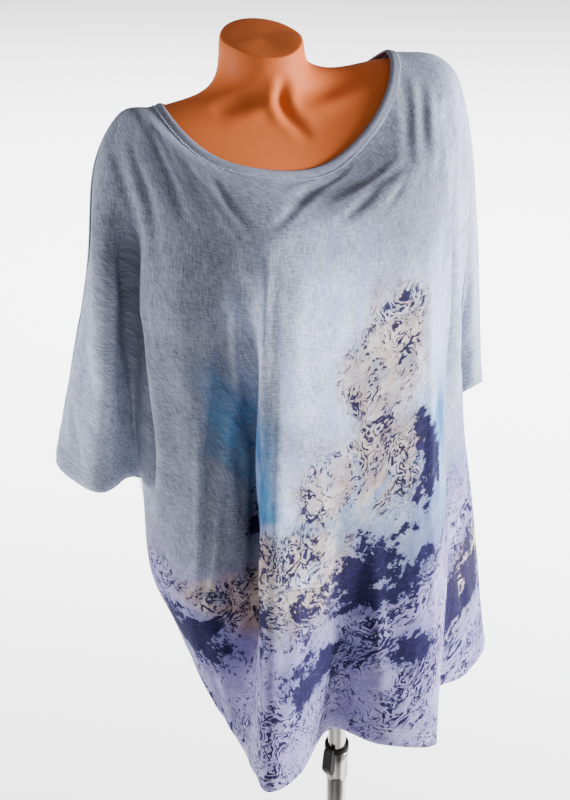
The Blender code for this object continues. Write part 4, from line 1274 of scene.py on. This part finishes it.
def make_clamp():
    """The height clamp: a tapered sleeve on the tube, a sloping collar and its lever."""
    sleeve, grip = SLEEVE_HIGH[0], TUBE_HIGH[0] + POLE_FIT
    length = SLEEVE_HIGH[2] - SLEEVE_LOW[2]
    item = turned("chromed_clamp_sleeve", [
        (grip, length), (sleeve - POLE_EDGE, length), (sleeve, length - POLE_EDGE), (sleeve, 0.0078),
        (sleeve - 0.0003, 0.0064), (grip + 0.0009, 0.0004), (grip + 0.0005, 0), (grip, 0),
    ], SLEEVE_LOW[2])
    finish(item, chromed_steel("chrome_of_sleeve"), "stand", "clamp_sleeve")
    bore, collar = ROD_HIGH[0] + POLE_FIT, COLLAR_HIGH[0]
    length = COLLAR_HIGH[2] - COLLAR_LOW[2]
    item = sloping_ring("black_clamp_collar", [
        (bore, length), (collar - 0.0022, length), (collar - 0.0008, length - 0.0006),
        (collar, length - 0.0018), (collar, 0.0018), (collar - 0.0008, 0.0006),
        (collar - 0.0022, 0), (bore, 0),
    ], COLLAR_LOW[2])
    finish(item, black_plastic("black_of_collar"), "stand", "clamp_collar")
    lever = bpy.data.objects["clamp_lever"]
    lever.data.materials.clear()
    lever.data.materials.append(black_plastic("black_of_lever"))


def make_base():
    """The round base with its hub."""
    rim, top = BASE_HIGH[0], BASE_THICKNESS
    grip, hub, height = TUBE_HIGH[0] + POLE_FIT, HUB_RADIUS, BASE_HIGH[2]
    item = turned("painted_base", [
        (0, top), (grip, top), (grip, height), (hub - 0.003, height), (hub - 0.0009, height - 0.0009),
        (hub, height - 0.003), (hub, top + 0.002), (hub + 0.0006, top + 0.0006), (hub + 0.002, top),
        (rim - 0.003, top), (rim - 0.0009, top - 0.0009), (rim, top - 0.003), (rim, 0.002),
        (rim - 0.002, 0), (0, 0),
    ], 0.0)
    finish(item, painted_steel(), "stand", "base_plate")


def direction(azimuth, elevation):
    """Unit vector towards a place round the form: 0 degrees is its front, and positive is its left."""
    a, e = math.radians(azimuth), math.radians(elevation)
    return Vector((math.sin(a) * math.cos(e), -math.cos(a) * math.cos(e), math.sin(e)))


def look_from(item, azimuth, elevation, distance):
    """Places a light or the camera round the form's middle and turns it there."""
    item.location = CAMERA_TARGET + direction(azimuth, elevation) * distance
    item.rotation_euler = (CAMERA_TARGET - item.location).to_track_quat("-Z", "Y").to_euler()


def area_light(name, power, size):
    """A square light, in the scene."""
    lamp = bpy.data.lights.new(name, "AREA")
    lamp.energy = power
    lamp.size = size
    item = bpy.data.objects.new(name, lamp)
    bpy.context.scene.collection.objects.link(item)
    return item


def make_surround(strength):
    """The studio's even light."""
    world = bpy.data.worlds.new("studio_surround")
    world.use_nodes = True
    background = world.node_tree.nodes["Background"]
    background.inputs["Color"].default_value = SURROUND_COLOUR
    background.inputs["Strength"].default_value = strength
    bpy.context.scene.world = world


class SHIRT_OT_form(bpy.types.Operator):
    """Makes the dress form's smooth plastic body"""

    bl_idname = "shirt.form"
    bl_label = "Dress form"

    def execute(self, context):
        finish(smooth_form(), satin_plastic(), "form", "dress_form")
        return {"FINISHED"}


class SHIRT_OT_panels(bpy.types.Operator):
    """Makes the front and the back with their sleeves, folds and creases, and their sewing"""

    bl_idname = "shirt.panels"
    bl_label = "Front and back"

    def execute(self, context):
        form = form_surface()
        rows = []
        for name, folds, other, side, creases in (
            ("front", FRONT_FOLDS, BACK_FOLDS, -1, FRONT_CREASES),
            ("back", BACK_FOLDS, FRONT_FOLDS, 1, BACK_CREASES),
        ):
            sheet, panel = make_panel("printed_" + name, folds, other, side, creases, form)
            finish(sheet, jersey(name + "_cloth", name), "form", name + "_panel")
            rows += sewing_rows(panel, context.scene.shirt_cloth.stitch)
        finish(join_rows("shirt_sewing", rows), thread_material(), "form", None)
        return {"FINISHED"}


class SHIRT_OT_binding(bpy.types.Operator):
    """Makes the folded band round the neckline"""

    bl_idname = "shirt.binding"
    bl_label = "Neck binding"

    def execute(self, context):
        band = folded_band("folded_neck_binding")
        finish(band, jersey("binding_cloth"), "form", "neck_binding")
        return {"FINISHED"}


class SHIRT_OT_pole(bpy.types.Operator):
    """Makes the rod, the tube, the height clamp and the base"""

    bl_idname = "shirt.pole"
    bl_label = "Pole and base"

    def execute(self, context):
        make_rod_and_tube()
        make_clamp()
        make_base()
        return {"FINISHED"}


class SHIRT_OT_studio(bpy.types.Operator):
    """Makes the floor, the lights and the camera"""

    bl_idname = "shirt.studio"
    bl_label = "Studio"

    def execute(self, context):
        scene = context.scene
        studio = scene.shirt_studio
        bpy.ops.mesh.primitive_plane_add(size=FLOOR_SIZE, location=(0, 0, 0))
        paper = context.object
        paper.name = "studio_floor"
        paper.data.materials.append(floor_material())
        make_surround(studio.surround)
        powers = {"key_light": studio.key_power, "side_light": studio.side_power}
        for name, size, azimuth, elevation, distance, colour in FORM_LIGHTS:
            item = area_light(name, powers[name], size)
            item.data.color = colour
            look_from(item, azimuth, elevation, distance)
        for name, azimuth in PAPER_LIGHTS.items():
            item = area_light(name, studio.paper_power, PAPER_LIGHT_SIZE)
            item.location = direction(azimuth, 0) * PAPER_LIGHT_DISTANCE
            item.location.z = PAPER_LIGHT_HEIGHT
            item.visible_camera = False
            item.visible_glossy = False
        camera = bpy.data.objects.new("camera", bpy.data.cameras.new("camera"))
        scene.collection.objects.link(camera)
        camera.data.lens = CAMERA_LENS
        look_from(camera, CAMERA_AZIMUTH, CAMERA_PITCH, CAMERA_DISTANCE)
        scene.camera = camera
        return {"FINISHED"}


class SHIRT_PT_sidebar(bpy.types.Panel):
    bl_idname = "SHIRT_PT_sidebar"
    bl_label = "T-shirt"
    bl_space_type = "VIEW_3D"
    bl_region_type = "UI"
    bl_category = "T-shirt"

    def draw(self, context):
        layout = self.layout
        scene = context.scene
        for group, names in (
            (scene.shirt_cloth, ("wall", "stitch", "dark_yarn", "light_yarn", "thread")),
            (scene.shirt_form, ("plastic",)),
            (scene.shirt_studio, ("key_power", "side_power", "paper_power", "surround")),
        ):
            for name in names:
                layout.prop(group, name)
        for operator in OPERATORS:
            layout.operator(operator.bl_idname)


GROUPS = {"shirt_cloth": ShirtCloth, "shirt_form": ShirtForm, "shirt_studio": ShirtStudio}
OPERATORS = (SHIRT_OT_form, SHIRT_OT_panels, SHIRT_OT_binding, SHIRT_OT_pole, SHIRT_OT_studio)


def register():
    for name, group in GROUPS.items():
        bpy.utils.register_class(group)
        setattr(bpy.types.Scene, name, bpy.props.PointerProperty(type=group))
    for operator in OPERATORS:
        bpy.utils.register_class(operator)
    bpy.utils.register_class(SHIRT_PT_sidebar)


def unregister():
    bpy.utils.unregister_class(SHIRT_PT_sidebar)
    for operator in reversed(OPERATORS):
        bpy.utils.unregister_class(operator)
    for name, group in reversed(GROUPS.items()):
        delattr(bpy.types.Scene, name)
        bpy.utils.unregister_class(group)


def main():
    register()
    bpy.ops.shirt.form()
    bpy.ops.shirt.panels()
    bpy.ops.shirt.binding()
    bpy.ops.shirt.pole()
    bpy.ops.shirt.studio()


if __name__ == "__main__":
    main()
